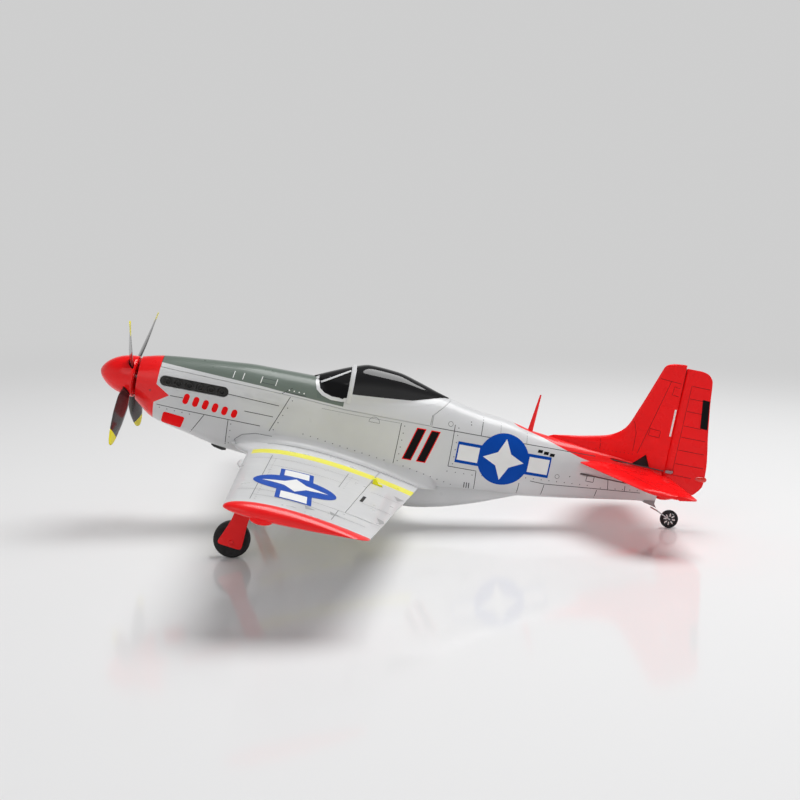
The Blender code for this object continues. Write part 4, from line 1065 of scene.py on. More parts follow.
def canopy_frames(glass, deck):
    """Windscreen frame: a round sweep over the deck with glass above it, and a slanting bar."""
    arc = [(168.4, 27.7), (169.0, 23.6), (170.6, 19.4), (175.0, 16.3), (181.8, 14.4), (190.0, 14.5),
           (194.8, 15.8)]
    pane = [(168.8, 27.2), (169.6, 23.4), (171.4, 19.8), (175.6, 16.9), (182.0, 15.1), (190.0, 15.2),
            (194.2, 16.2), (194.6, 27.0)]
    rail = [(196.5, 20.4), (246.5, 24.0), (272.0, 28.9), (262.0, 24.0), (246.5, 19.4), (225.0, 15.6),
            (196.5, 13.2)]
    slant = [(170.6, 24.0), (178.0, 28.4), (186.0, 33.1), (193.4, 37.4)]
    frames, panes, rails = bmesh.new(), bmesh.new(), bmesh.new()
    for side in (-1, 1):
        hit = outermost((glass, deck), side)
        patch(panes, hit, pane, 0.1, 1.3)
        patch(rails, hit, rail, 0.12, 1.5)
        scribe(frames, hit, arc, 2.9, 0.3, 1.0)
        scribe(frames, side_view(glass, side), slant, 1.9, 0.2, 1.0)
    for name, bm, finish, slot in (("windscreen_frame", frames, "trim", "silver_trim"),
                                   ("windscreen_pane", panes, "mark_black", "smoked_canopy"),
                                   ("canopy_side_rail", rails, "silver", "green_foam")):
        strips = plain_object(name, bm)
        thicken(strips, 0.25)
        mount(strips, "hatch", finish)


def thicken(obj, depth):
    """Gives flat strips their thickness in the mesh itself, on the inner side."""
    bm = mesh_copy(obj)
    bmesh.ops.solidify(bm, geom=bm.faces[:], thickness=depth)
    # Solidify leaves its points and faces in a chance order, so both are sorted along one slant
    slant = Vector((1.0, 0.618, 0.414))
    bm.verts.sort(key=lambda vert: vert.co.dot(slant))
    bm.faces.sort(key=lambda face: face.calc_center_median().dot(slant))
    bm.to_mesh(obj.data)
    bm.free()


def belly_scoop():
    rings = []
    for x in steps(213.0, 343.0, 3.5):
        half = smooth(SCOOP_HALF, x)
        bottom = smooth(SCOOP_BOTTOM, x)
        top = -34.0
        mid = (top + bottom) / 2
        rings.append([(x, half * math.copysign(abs(s) ** 0.75, s),
                       mid + (top - mid) * math.copysign(abs(c) ** 0.75, c)) for c, s in round_turns(64)])
    body = loft("belly_scoop_skin", rings)
    boolean(body, prism("mouth", bar(219.5, -56.1, 29.0, 7.0), -10.2, 10.2))
    mount(body, "airframe", "silver", ["belly_scoop"])


STUB = [(0.3, -0.9, 2.55, 2.2), (1.5, -0.4, 2.55, 2.35), (2.5, 0.4, 2.55, 2.4), (2.95, 0.7, 2.55, 2.3),
        (2.95, 0.7, 1.95, 1.75), (1.2, -0.2, 1.95, 1.7)]     # out, aft, half length, half height


def exhausts():
    """Six short flattened pipes on a stadium plate, each one hollow and swept aft."""
    for word, side in SIDES:
        cheek = smooth(HALF_WIDTH, 75.0) - 2.7
        low, high = sorted((side * cheek, side * (cheek + 0.9)))
        body = prism("exhaust_stack_" + word, exhaust_outline(GAP), low, high)
        for k in range(6):
            x = 55.0 + 8.4 * k
            rings = [[(x + aft + wide * c, side * (cheek + out), 3.5 + high_part * s)
                      for c, s in round_turns(20)] for out, aft, wide, high_part in STUB]
            boolean(body, loft("stub", rings), "UNION")
        mount(body, "airframe", "exhaust", ["exhaust_" + word])


# ---------------------------------------------------------------- wing
def wing_spans():
    tip = [TIP_START + (HALF_SPAN - TIP_START) * math.sin(math.radians(a)) for a in steps(6, 87, 6)]
    return [GAP / 2, 8.0, 15.0] + steps(20.0, 52.0, 2.0) + steps(60.0, TIP_START, 8.0) + tip


def wing(word, side):
    body = loft("wing_skin_" + word, [wing_ring(y, side) for y in wing_spans()])
    outside = tree_of(body)
    boolean(body, aileron_cut("aileron_space", side, 0.2, AILERON_IN - 0.4, AILERON_OUT + 0.4))
    root, _ = torque_rod_line(side)
    low, high = sorted((side * 8.2, side * 11.6))
    boolean(body, box("arm_space", (root.x - 6.5, low, root.z - 1.3), (root.x + 6.5, high, 0)))
    boolean(body, box("servo_space", (185.4, -4.8, -46.0), (206.6, 4.8, -20.0)))
    boolean(body, box("arm_sweep", (188.5, -11.0, -30.6), (203.5, 11.0, -20.0)))
    mount(body, "airframe", "wing", ["wing_" + word])
    return outside


def aileron(word, side):
    spans = steps(AILERON_IN, AILERON_OUT, 8.0)
    body = loft("aileron_skin_" + word, [wing_ring(y, side) for y in spans])
    outside = tree_of(body)
    boolean(body, aileron_cut("hinge_face", side, -0.2, 60.0, 240.0), "INTERSECT")
    _, tip = torque_rod_line(side)
    boolean(body, rod_space("rod_space", side, tip))
    boolean(body, horn_space(side))
    mount(body, "aileron_" + word, "wing", ["aileron_" + word])
    return outside


# ---------------------------------------------------------------- tail
def fin():
    root, top = steps(13.5, 30.0, 1.5), steps(85.0, FIN_TOP, 0.8)
    levels = [4.0, 8.0, 12.0] + root + steps(33.0, 84.0, 3.0) + top
    body = loft("fin_skin", [fin_ring(z) for z in levels])
    outside = tree_of(body)
    boolean(body, loft("rudder_groove", [
        [(x, y, z) for x, y in circle(HINGE, 0.0, rudder_nose(z) + 0.4)] for z in (-30.0, 20.0, 100.0)]))
    boolean(body, rod_window())
    mount(body, "airframe", "red_foam", ["fin"])
    # Near-black plate at the floor of the rod window: painted shade inside the opening
    plate = prism("rod_window_shade", ROD_WINDOW, -1.55, -1.42)
    mount(plate, "airframe", "seam")
    strip = prism("rudder_hinge_strip", bar(456.4, 48.5, 2.4, 80.0), -0.12, 0.12)
    mount(strip, "airframe", "red_ink")
    return outside


def rudder():
    levels = steps(-19.0, -9.0, 1.0) + steps(-6.0, 78.0, 3.0) + steps(79.5, 89.0, 0.5)
    body = loft("rudder_skin", [rudder_ring(z) for z in levels])
    outside = tree_of(body)
    boolean(body, box("horn_space", (456.5, -6.0, 2.6), (464.5, -2.2, 7.2)))
    mount(body, "rudder", "red_foam", ["rudder"])
    profile = [(-8, 0.9), (-5.0, 2.0), (-1.4, 2.3), (0.8, 2.25), (2.0, 1.8), (2.9, 0.9), (3.2, 0)]
    lamp = turned("tail_lamp", profile, (490.4, 0, 2.8), (1, 0, 0), 24)
    mount(lamp, "rudder", "lamp")
    return outside


def stabilizer():
    spans = [STAB_HALF_SPAN * u for u in [0.04] + steps(0.1, 0.88, 0.06) + steps(0.9, 1.0, 0.01)]
    rings = [stab_ring(y, -1) for y in reversed(spans)] + [stab_ring(y, 1) for y in spans]
    body = loft("stabilizer_skin", rings)
    outside = tree_of(body)
    groove = []
    for y in (-110.0, 0.0, 110.0):
        radius = elevator_nose(min(abs(y), STAB_HALF_SPAN)) + 0.35
        groove.append([(x, y, z) for x, z in circle(ELEVATOR_HINGE, 0.0, radius)])
    boolean(body, loft("elevator_groove", groove))
    mount(body, "airframe", "red_foam", ["stabilizer"])
    return outside


def elevators():
    for word, side in SIDES:
        spans = steps(ELEVATOR_IN, 88.0, 7.0) + steps(89.5, STAB_HALF_SPAN, 1.0)
        half = loft("elevator_skin_" + word, [elevator_ring(y, side) for y in spans])
        if side < 0:
            boolean(half, box("horn_slot", (447.1, -16.6, -4.2), (451.6, -14.4, -1.4)))
        mount(half, "elevator", "red_foam", ["elevator_" + word])


# ---------------------------------------------------------------- nose and propeller
BLADE_TURNS = [Matrix.Rotation(math.radians(45 + 90 * k), 4, "X") for k in range(4)]


def spinner():
    stations = [0.15, 0.4, 0.9, 1.5, 2.4, 3.6, 5.0, 6.8, 9.5, 12.0, 15.0, 18.0, 21.0, 24.0, 27.0, 28.3]
    profile = [(0, 0)] + [(x, spinner_radius(x)) for x in stations] + [(28.8, SPINNER_RADIUS - 0.35)]
    inner = [(x, spinner_radius(x) - 1.1) for x in (28.8, 23.0, 18.0, 13.5, 9.5)]
    shell = turned("spinner_shell", profile + inner + [(9.5, 0)], (0, 0, 0), (1, 0, 0), 96)
    for turn in BLADE_TURNS:
        rings = []
        for r in steps(9.0, 19.0, 2.0):
            radius, chord, pitch = blade_table(r)
            rings.append([turn @ p for p in blade_section(radius, chord + 2.2, pitch, grow=0.7)])
        boolean(shell, loft("blade_opening", rings))
    shell.data.transform(THRUST)
    mount(shell, "propeller", "red_gloss", ["spinner"], 40)


def blade_table(radius):
    chord, pitch = (smooth([(row[0], row[k]) for row in BLADE], radius) for k in (1, 2))
    return radius, chord, pitch


def propeller():
    """Four twisted blades whose ends are dipped in yellow."""
    dip = 56.4
    radii = steps(4.0, dip, 1.8) + steps(dip, 64.0, 1.0)[1:] + [64.8, 65.5, 66.0, PROP_RADIUS]
    boss = [(-2.6, 1.8), (-2.6, 6.2), (-2.2, 6.6), (2.8, 6.6), (3.2, 6.2), (3.2, 1.8), (-2.6, 1.8)]
    hub = turned("propeller_blades", boss, (PROP_X, 0, 0), (1, 0, 0), 48)
    for turn in BLADE_TURNS:
        rings = [[turn @ p for p in blade_section(*blade_table(r))] for r in radii]
        boolean(hub, loft("blade", rings), "UNION")
    for face in hub.data.polygons:
        face.material_index = int(math.hypot(face.center.y, face.center.z) > dip)
    indices = [face.material_index for face in hub.data.polygons]
    hub.data.transform(THRUST)
    mount(hub, "propeller", "blade blade_tip", ["propeller"])
    hub.data.polygons.foreach_set("material_index", indices)


# ---------------------------------------------------------------- running gear
def wheel(word, body, axle, radius, width, bore, hub_radius, slots):
    x, y, z = axle
    half = width / 2
    soft = width * 0.24
    corner = [(half - soft + soft * math.sin(a), radius - soft + soft * math.cos(a))
              for a in (math.pi / 2 * k / 7 for k in range(8))]
    inner = hub_radius + 0.05
    right = corner + [(half, radius - soft * 1.8), (half - 0.35, inner + 0.5), (half - 0.35, inner)]
    profile = right + [(-u, r) for u, r in reversed(right)]
    tyre = turned(word + "_foam_tyre", profile + [profile[0]], axle, (0, 1, 0), 72)
    mount(tyre, body, "tyre", [word + "_tyre"])
    lip = half - 0.4
    edge = [(lip - 0.5, hub_radius - 0.15), (lip, hub_radius - 0.5), (lip, hub_radius - 0.9),
            (lip - 0.55, hub_radius - 1.1), (lip - 0.55, bore + 1.5), (lip, bore + 1.1),
            (lip + 0.6, bore + 0.9), (lip + 0.6, bore)]
    ring = edge + [(-u, r) for u, r in reversed(edge)]
    hub = turned(word + "_wheel_hub", ring + [ring[0]], axle, (0, 1, 0), 48)
    mount(hub, body, "hub", [word + "_hub"])
    if slots:
        bm = bmesh.new()
        for side in (-1, 1):
            face = side * (half - 0.62)
            for k in range(slots):
                spoke(bm, (x, y + face, z), 2 * math.pi * k / slots, bore + 1.3, hub_radius - 0.3, side)
        spokes = plain_object(word + "_wheel_spokes", bm)
        mount(spokes, body, "mark_white")


def spoke(bm, centre, turn, inner, outer, side):
    """One raised radial bar with round ends on a wheel's face."""
    along = Vector((math.cos(turn), 0, math.sin(turn)))
    across = Vector((-math.sin(turn), 0, math.cos(turn)))
    points = capsule((inner + outer) / 2, 0, outer - inner, (outer - inner) * 0.36)
    rows = []
    for depth, shrink in ((0.0, 1.0), (0.22, 1.0), (0.32, 0.8)):
        base = Vector(centre) + Vector((0, side * depth, 0))
        rows.append([bm.verts.new(base + along * u + across * (v * shrink)) for u, v in points])
    for a, b in zip(rows, rows[1:]):
        bridge(bm, a, b)
    bm.faces.new(rows[-1])
    bmesh.ops.recalc_face_normals(bm, faces=bm.faces)


def gear_door(word, side):
    """Gloss red cover plate with a dished edge and the axle's round boss."""
    x, y, z = MAIN_AXLE
    corners = [(118.6, -92.0), (126.6, -73.3), (132.0, -43.0), (146.0, -43.0), (138.4, -71.2),
               (137.2, -94.5)]
    outline = rounded_outline(corners, (3.4, 6.0, 1.6, 1.6, 8.0, 3.4))
    low, high = sorted((side * (y + 8.15), side * (y + 9.5)))
    door = prism("gear_door_plate_" + word, outline, low, high)
    profile = [(0, 1.9), (1.5, 1.9), (1.9, 1.6), (2.1, 1.1)]
    boss = turned("boss", profile, (x, side * (y + 9.2), z - 0.6), (0, side, 0), 32)
    boolean(door, boss, "UNION")
    mount(door, "airframe", "red_gloss", ["gear_door_" + word], 30, 0.3)


def rounded_outline(corners, radii, count=5):
    points = []
    for i, (corner, radius) in enumerate(zip(corners, radii)):
        before, here = Vector(corners[i - 1]), Vector(corner)
        after = Vector(corners[(i + 1) % len(corners)])
        a = here + (before - here).normalized() * radius
        b = here + (after - here).normalized() * radius
        points += [tuple(bezier(a, here, b, k / count)) for k in range(count + 1)]
    return points


def aerial_mast():
    rings = []
    for z in [12.0] + steps(15.0, 45.6, 5.1) + [46.0]:
        u = (z - 12.0) / 34.0
        front, back = 340.8 + 4.4 * u, 345.4 + 1.1 * u
        half = 0.9 - 0.55 * u
        rings.append([((front + back) / 2 + (back - front) / 2 * c, half * s, z)
                      for c, s in round_turns(28)])
    mast = loft("aerial_blade", rings)
    mount(mast, "airframe", "red_gloss", ["aerial_mast"], 40)


# ---------------------------------------------------------------- carried-over nodes
CARRIED = {
    "red_gloss": ["spinner_backplate"],
    "black": ["motor_mount", "aileron_servo", "elevator_servo", "rudder_servo", "nose_skid"],
    "grey_plastic": ["tail_bracket", "rudder_horn"],
    "wire": ["prop_shaft", "main_leg_left", "main_leg_right", "tail_wire", "torque_rod_left",
             "torque_rod_right", "aileron_link_left", "aileron_link_right", "elevator_joiner"],
    "dark_wire": ["elevator_pushrod", "rudder_pushrod"],
    "alloy": ["motor"],
    "nylon": ["aileron_servo_arm", "elevator_servo_arm", "rudder_servo_arm",
              "elevator_horn", "battery_tray"],
    "yellow_nylon": ["aileron_horn_left", "aileron_horn_right"],
    "carbon": ["spar_tube"],
    "battery": ["battery"],
    "board": ["receiver_board"],
}


def finish_carried():
    for finish, names in CARRIED.items():
        for name in names:
            node = frame["nodes"][name]
            node.data.materials.clear()
            node.data.materials.append(MATERIALS[finish])


# ---------------------------------------------------------------- markings and panel lines
SKINS = {"fuselage": (side_view, "silver_foam"), "hatch": (side_view, "green_foam"),
         "wing": (plan_view, "silver_foam"), "aileron": (plan_view, "silver_foam"),
         "fin": (side_view, "red_foam"), "rudder": (side_view, "red_foam"),
         "stabilizer": (plan_view, "red_foam")}


def drawn(trees, name, body, finish, skin, strokes, sides=(-1, 1)):
    """One piece of flat drawing: each stroke is a tool and its settings, laid on each side's skin."""
    view, slot = SKINS[skin]
    bm = bmesh.new()
    for side in sides:
        hit = view(trees[skin][side], side)
        for tool, *settings in strokes:
            tool(bm, hit, *settings)
    mount(plain_object(name, bm), body, finish, sharp=60)


def each(tool, shapes, *settings):
    return [(tool, shape, *settings) for shape in shapes]


def closed(points):
    return points + points[:1]


FUSELAGE_LINES = each(scribe, [
    [(49.5, -15.9), (72.0, -16.4), (131.4, -17.1)],
    [(58.8, -7.0), (69.0, -6.9)],
    [(102.6, 2.8), (143.0, 1.2)],
    [(117.5, -7.8), (140.0, -8.1)],
    [(150.4, 9.6), (138.9, -19.7)],
    [(87.2, -17.0), (77.2, -35.4)],
    [(106.2, -17.2), (106.8, -37.8)],
    [(239.1, 5.9), (238.7, -26.6)],
    [(281.2, 12.0), (281.8, -21.0)],
    [(281.8, -21.0), (304.5, -21.0), (307.5, -46.0)],
    [(340.8, -24.9), (341.2, -34.3)],
    [(349.1, -21.6), (360.9, -22.2), (397.2, -19.5), (440.8, -16.5)],
    [(361.1, -23.0), (360.8, -32.0)],
    [(404.7, -20.0), (404.4, -27.0)],
    [(411.6, -9.4), (413.4, -18.4)],
    [(427.0, -12.8), (427.5, -17.4)],
    [(303.3, 21.0), (303.0, 7.1)],
    [(263.6, 7.2), (303.0, 7.1), (398.0, 6.6)],
    [(394.0, -9.0), (400.0, -9.2), (400.0, -14.2), (393.8, -14.0), (394.0, -9.0)],
], 0.55) + each(scribe, [
    closed(circle(u, v, radius, 20))
    for u, v, radius in ((277.6, 12.0, 1.9), (369.8, -14.2, 1.7), (42.9, -5.8, 0.7))
], 0.3, 0.04, 0.6) + each(dots, [
    [(u, v), (u + 0.1, v)] for u, v in ((293.6, 16.1), (294.0, 14.0), (360.0, -14.0), (380.0, -12.6))
], 3.0, 0.45) + each(scribe, [
    [(297.6 + 1.9 * k, -32.0), (298.4 + 1.9 * k, -37.0)] for k in range(3)
], 0.75)
FUSELAGE_RIVETS = each(dots, [
    [(165.3, -16.9), (231.3, -25.5)],
    [(247.0, -27.5), (287.2, -36.0)],
    [(281.9, -25.2), (302.2, -24.9)],
    [(152.5, 7.0), (142.0, -18.0)],
    [(284.4, 10.0), (284.9, -18.5)],
    [(108.8, -20.0), (109.3, -36.0)],
    [(52.0, -18.0), (76.0, -18.6)],
    [(345.0, -19.6), (396.0, -17.4)],
    [(242.0, 4.0), (241.6, -24.0)],
    [(310.0, -24.0), (337.0, -23.2)],
    [(407.2, -17.8), (438.0, -14.9)],
], 6.2, 0.48)
LOUVRE = [(218.0 + 4.2 * math.cos(a), 2.4 + 4.2 * math.sin(a))
          for a in (math.pi * k / 12 for k in range(13))]
# Louvre cover, root seam and small seams, in a shade near the paint's
FUSELAGE_GREYS = [
    (scribe, closed(LOUVRE), 0.35, 0.05, 0.8),
    (scribe, [(176.0, 5.6), (205.0, 5.2), (238.0, 5.6)], 0.25),
    (scribe, [(116.4, -35.5), (113.6, -31.5), (118.8, -26.5), (128.8, -23.6), (141.9, -23.3)], 0.5),
    (scribe, [(310.0, -8.0), (336.0, -8.0)], 0.25),
    (scribe, [(318.0, 19.0), (318.4, 7.2)], 0.25),
    (scribe, [(340.0, 16.4), (340.4, 7.0)], 0.32),
]
HATCH_LINES = [
    (scribe, [(150.9, 16.4), (143.4, 10.9)], 0.5),
    (scribe, [(126.2, 19.6), (138.2, 19.4)], 0.3),
    (scribe, [(125.8, 16.2), (137.6, 16.0)], 0.3),
    (scribe, [(146.6, 12.4), (162.3, 12.3)], 0.5),
    (scribe, [(261.8, 8.6), (262.2, 16.0)], 0.3),
]
HATCH_TICKS = each(scribe, [[(u, 20.6), (u - 0.8, 15.6)] for u in (104.6, 112.2, 126.4, 138.2)],
                   0.6, 0.08, 0.8) + [(dots, [(148.6, 14.4), (160.3, 14.0)], 3.8, 0.6, 0.08)]
# A row of plain leaning capsules and one plain panel
NOSE_ART = [(patch, capsule(71.5 + 7.7 * k, -7.2 - 0.85 * k, 8.6 - 0.35 * k, 4.4, 0.0, 78.0), 0.07, 1.6)
            for k in range(6)]
NOSE_ART.append((patch, rounded_outline([(55.5, -20.6), (72.8, -22.0), (70.2, -32.0), (54.1, -30.4)],
                                        (2, 2, 2, 2)), 0.14, 1.6))
TAIL_DASHES = each(patch, [bar(352.4 + 5.0 * k, 3.2 - 0.7 * k, 3.9, 2.4, 0.2) for k in range(3)], 0.07, 1.5)


def slashes(grow, lift):
    """Two leaning bars; grown a little, they are the thin edge under themselves."""
    return each(patch, [bar(u, -8.6, 6.0 + grow, 25.0 + grow, 0.28) for u in (252.0, 263.4)], lift, 1.8)


def diamond(u, v, reach):
    """Four-pointed mark with hollow sides."""
    points = []
    for k, (c, s) in enumerate(round_turns(8)):
        far = reach if k % 2 == 0 else reach * 0.46
        points.append((u + far * c, v + far * s))
    return points


def roundel(u, v, radius, field, arms, lifts):
    """A disc over a bar, then the two light arms and the light mark that lie on them."""
    dark = [(patch, field, lifts[0]), (patch, circle(u, v, radius), lifts[1])]
    return dark, each(patch, arms, lifts[2]) + [(patch, diamond(u, v, radius * 0.80), lifts[3])]


SIDE_FIELD, SIDE_MARK = roundel(
    324.0, -8.4, 20.7, bar(324.2, -8.4, 76.4, 17.0),
    [bar(324.2 + end * 28.6, -8.4, 16.6, 12.2) for end in (-1, 1)], (0.06, 0.09, 0.12, 0.13))
WING_FIELD, WING_MARK = roundel(
    166.5, 191.0, 27.6, bar(166.5, 191.0, 23.0, 106.0),
    [bar(166.5, 191.0 + end * 39.4, 17.0, 21.6) for end in (-1, 1)], (0.11, 0.14, 0.17, 0.19))


def chord_at(y, share):
    le, te = chord_ends(y)
    return le + share * (te - le)


def along_span(share, inner, outer):
    return [(chord_at(inner, share), inner), (chord_at(outer, share), outer)]


def along_chord(y, low, high):
    return [(chord_at(y, low), y), (chord_at(y, high), y)]


WING_LINES = each(scribe, [
    along_span(0.16, 84.0, 262.0), along_span(0.62, 84.0, 150.0), along_span(0.71, 228.0, 262.0),
    along_chord(98.0, 0.04, 0.70), along_chord(130.0, 0.16, 0.62), along_chord(228.0, 0.05, 0.94),
    along_chord(246.0, 0.16, 0.92)
], 0.45, 0.09) + each(dots, [
    along_span(0.19, 100.0, 260.0), along_span(0.65, 86.0, 148.0)
], 7.0, 0.45, 0.09)
AILERON_LINES = each(scribe, [along_chord(y, 0.80, 0.985) for y in (124.0, 176.0)], 0.45, 0.09)
# Dark ribbon along the slit just aft of the aileron hinge: painted shade of the gap
AILERON_SLIT_SHADE = [(scribe, [(214.6, 150.0), (211.2, 173.0)], 2.2, 0.09, 1.5)]
# Grey walkway corners near the trailing edge and the tip
WING_CORNERS = each(patch, [[(u, v), (u + 6.5, v + 4.5), (u + 0.5, v + 9.0)]
                            for u, v in ((174.2, 247.0), (190.0, 240.0))], 0.1, 2.0)
AILERON_CORNERS = each(patch, [[(u, v), (u + 7.5, v + 3.0), (u + 1.5, v + 15.0)]
                               for u, v in ((238.0, 104.0), (221.5, 205.0))], 0.1, 2.0)
FIN_LINES = each(scribe, [
    [(435.9, 77.4), (455.0, 76.2)],
    [(446.6, 76.6), (431.7, 14.8)],
    [(450.0, 72.9), (456.6, 72.0), (456.6, 65.5), (449.6, 66.2), (450.0, 72.9)],
    [(437.7, 36.4), (446.8, 35.8), (446.4, 30.3), (437.4, 30.8), (437.7, 36.4)],
    [(421.4, 43.0), (425.2, 38.0), (427.4, 31.0), (427.7, 16.0)],
    [(400.3, 22.5), (401.1, 13.0)],
], 0.36) + [(dots, [(398.0, 12.4), (428.0, 13.4)], 3.4, 0.28)]
# White strip by the rudder hinge slot, on the left side only: a painted highlight
FIN_SLOT_HIGHLIGHT = [(patch, bar(455.0, 44.0, 1.5, 22.0), 0.08, 1.0)]
RUDDER_LINES = each(scribe, [
    [(464.4, height), (end, height - 0.3)]
    for height, end in ((76.0, 479.3), (65.8, 479.0), (55.4, 477.8), (43.4, 479.5), (34.1, 484.9),
                        (23.4, 486.5), (12.2, 488.3), (2.6, 480.0))
], 0.38) + [(scribe, [(463.8, 76.4), (463.6, 40.0), (463.4, 3.0)], 0.32)]
RUDDER_PATCH = [(patch, [(478.3, 43.6), (484.6, 43.3), (481.4, 66.4), (475.4, 66.8)], 0.08, 2.0)]
STABILIZER_LINES = each(scribe, [[(389.0 + 0.43 * y, y), (441.0, y)] for y in (34.0, 62.0)]
                        + [[(412.0, 22.0), (432.0, 88.0)]], 0.34)


def blister(name, centre, reach, finish):
    """Smooth egg that stands half proud of the skin it sits in."""
    rings = []
    for k in range(1, 24):
        turn = math.pi * k / 24
        rings.append([(centre[0] + reach[0] * math.sin(turn) * c, centre[1] - reach[1] * math.cos(turn),
                       centre[2] + reach[2] * math.sin(turn) * s) for c, s in round_turns(32)])
    mount(loft(name, rings), "airframe", finish, sharp=60)


def wing_blisters():
    """Leading-edge fairing ahead of each main leg and the lamp housing under each tip."""
    for word, side in SIDES:
        blister("leg_fairing_" + word, (126.6, side * 87.0, -35.6), (4.2, 11.5, 2.6), "silver")
        blister("tip_lamp_housing_" + word, (150.5, side * 275.6, -28.0), (7.0, 3.2, 3.0), "red_foam")


BODY_MARKS = [
    ("fuselage_panel_lines", "airframe", "ink", "fuselage", FUSELAGE_LINES),
    ("fuselage_rivets", "airframe", "rivet", "fuselage", FUSELAGE_RIVETS),
    ("fuselage_faint_lines", "airframe", "faint_ink", "fuselage", FUSELAGE_GREYS),
    ("hatch_panel_lines", "hatch", "ink", "hatch", HATCH_LINES),
    ("hatch_white_ticks", "hatch", "mark_white", "hatch", HATCH_TICKS),
    ("nose_capsules", "airframe", "mark_red", "fuselage", NOSE_ART),
    ("side_bars_edge", "airframe", "mark_red", "fuselage", slashes(1.5, 0.06)),
    ("side_bars", "airframe", "mark_black", "fuselage", slashes(0.0, 0.12)),
    ("tail_dashes", "airframe", "mark_black", "fuselage", TAIL_DASHES),
    ("side_roundel_field", "airframe", "mark_blue", "fuselage", SIDE_FIELD),
    ("side_roundel_mark", "airframe", "mark_white", "fuselage", SIDE_MARK),
    ("wing_roundel_field", "airframe", "mark_blue", "wing", WING_FIELD),
    ("wing_roundel_mark", "airframe", "mark_white", "wing", WING_MARK),
    ("wing_panel_lines", "airframe", "faint_ink", "wing", WING_LINES),
    ("wing_corners", "airframe", "mark_grey", "wing", WING_CORNERS),
]
for word, side in SIDES:
    BODY_MARKS += [(name + word, "aileron_" + word, finish, "aileron", strokes, [side])
                   for name, finish, strokes in (("aileron_lines_", "faint_ink", AILERON_LINES),
                                                 ("aileron_slit_", "seam", AILERON_SLIT_SHADE),
                                                 ("aileron_corners_", "mark_grey", AILERON_CORNERS))]
TAIL_MARKS = [
    ("fin_panel_lines", "airframe", "red_ink", "fin", FIN_LINES),
    ("fin_slot_light", "airframe", "mark_white", "fin", FIN_SLOT_HIGHLIGHT, [-1]),
    ("rudder_ribs", "rudder", "red_ink", "rudder", RUDDER_LINES),
    ("rudder_patch", "rudder", "mark_black", "rudder", RUDDER_PATCH),
    ("stabilizer_lines", "airframe", "red_ink", "stabilizer", STABILIZER_LINES),
]


def mark_surfaces(trees):
    for mark in BODY_MARKS:
        drawn(trees, *mark)
    wing_blisters()
    for mark in TAIL_MARKS:
        drawn(trees, *mark)


# ---------------------------------------------------------------- studio
GREY, CEILING = 0.62, 0.16   # backdrop at the horizon and overhead
# Name, place, what it points at, width and power of each lamp
LAMPS = [("overhead", (0.50, 0.20, 1.7), (0.0, 0.0, 0.0), 1.35, 29.5),
         ("left_fill", (-0.9, -1.5, 1.1), (0.0, 0.0, 0.05), 1.2, 3.0)]
FLOOR_RADIUS, FADE_START, FADE_END = 6.0, 0.55, 1.75


def floor():
    """Pale glossy floor whose far edge melts into the backdrop's grey."""
    bm = bmesh.new()
    bmesh.ops.create_circle(bm, cap_ends=True, radius=FLOOR_RADIUS, segments=96)
    disc = plain_object("floor", bm)
    disc.location = (0.0, 0.0, -0.0002)
    finish = bpy.data.materials.new("pale_floor")
    finish.use_nodes = True
    tree = finish.node_tree
    shader = tree.nodes["Principled BSDF"]
    shader.inputs["Base Color"].default_value = (0.86, 0.86, 0.865, 1.0)
    shader.inputs["Roughness"].default_value = 0.09
    shader.inputs["Specular IOR Level"].default_value = 0.16
    place = add_node(tree, "TexCoord").outputs["Object"]
    reach = add_node(tree, "VectorMath", {0: place}, operation="LENGTH").outputs["Value"]
    fade = add_node(tree, "MapRange", {"From Min": FADE_START, "From Max": FADE_END, "Value": reach},
                    interpolation_type="SMOOTHERSTEP")
    backdrop = add_node(tree, "Emission", {"Color": (GREY, GREY, GREY, 1.0)})
    mix = add_node(tree, "MixShader", {"Fac": fade.outputs["Result"], 1: shader.outputs["BSDF"],
                                       2: backdrop.outputs["Emission"]})
    feed(tree, tree.nodes["Material Output"].inputs["Surface"], mix.outputs["Shader"])
    disc.data.materials.append(finish)


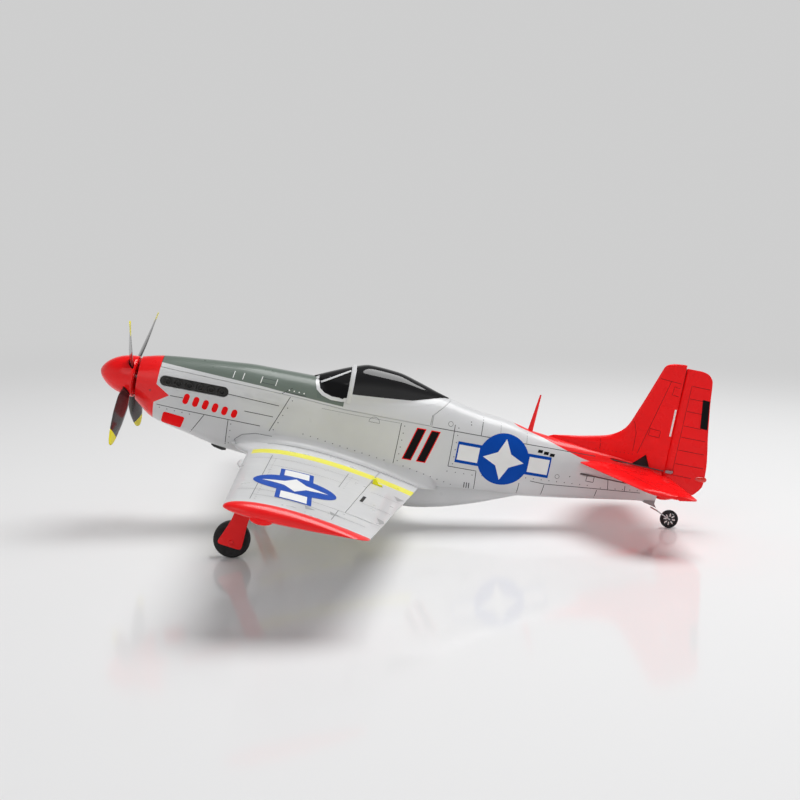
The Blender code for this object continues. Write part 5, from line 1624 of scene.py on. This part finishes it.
def studio():
    world = bpy.data.worlds.new("studio_grey")
    bpy.context.scene.world = world
    world.use_nodes = True
    tree = world.node_tree
    place = add_node(tree, "TexCoord").outputs["Generated"]
    height = add_node(tree, "SeparateXYZ", {0: place}).outputs["Z"]
    rise = add_node(tree, "MapRange", {"From Min": 0.2, "From Max": 0.75, "To Min": GREY,
                                       "To Max": CEILING, "Value": height},
                    interpolation_type="SMOOTHSTEP")
    feed(tree, tree.nodes["Background"].inputs["Color"], rise.outputs["Result"])
    for name, place, target, size, power in LAMPS:
        light = bpy.data.lights.new(name, "AREA")
        light.shape = "DISK"
        light.size = size
        light.energy = power
        lamp = bpy.data.objects.new(name, light)
        lamp.location = place
        lamp.rotation_mode = "QUATERNION"
        lamp.rotation_quaternion = (Vector(target) - Vector(place)).to_track_quat("-Z", "Y")
        bpy.context.scene.collection.objects.link(lamp)
    bpy.context.scene.view_settings.view_transform = "Standard"


def camera():
    """Long-lens view from the aeroplane's left, a little above the wing."""
    data = bpy.data.cameras.new("camera")
    data.lens, data.sensor_width = 57.07, 36.0
    data.clip_start, data.clip_end = 0.01, 50.0
    view = bpy.data.objects.new("camera", data)
    ahead = Vector((0.047326, 0.989226, -0.138545))
    up = Vector((-0.010509, 0.139184, 0.990207))
    right = ahead.cross(up).normalized()
    up = right.cross(ahead)
    turn = Matrix((right, up, -ahead)).transposed()
    view.matrix_world = Matrix.Translation(AIR @ Vector((164.06, -998.53, 149.87))) @ turn.to_4x4()
    bpy.context.scene.collection.objects.link(view)
    bpy.context.scene.camera = view


# ---------------------------------------------------------------- assembly
def both_sides(tree):
    return {-1: tree, 1: tree}


def build():
    camera()
    trees = {"fuselage": both_sides(fuselage_skins()), "wing": {}, "aileron": {}}
    deck = hatch_deck()
    trees["hatch"] = both_sides(deck)
    canopy_frames(canopy(), deck)
    belly_scoop()
    exhausts()
    for word, side in SIDES:
        trees["wing"][side] = wing(word, side)
        trees["aileron"][side] = aileron(word, side)
        gear_door(word, side)
        axle = (MAIN_AXLE[0], side * MAIN_AXLE[1], MAIN_AXLE[2])
        wheel(word, "main_wheel_" + word, axle, MAIN_RADIUS, MAIN_WIDTH, 1.15, 4.6, 0)
    for name, make in (("fin", fin), ("rudder", rudder), ("stabilizer", stabilizer)):
        trees[name] = both_sides(make())
    elevators()
    wheel("tail", "tail_wheel", TAIL_AXLE, TAIL_RADIUS, TAIL_WIDTH, 0.75, 5.2, 8)
    spinner()
    propeller()
    aerial_mast()
    finish_carried()
    mark_surfaces(trees)
    floor()
    studio()


build()
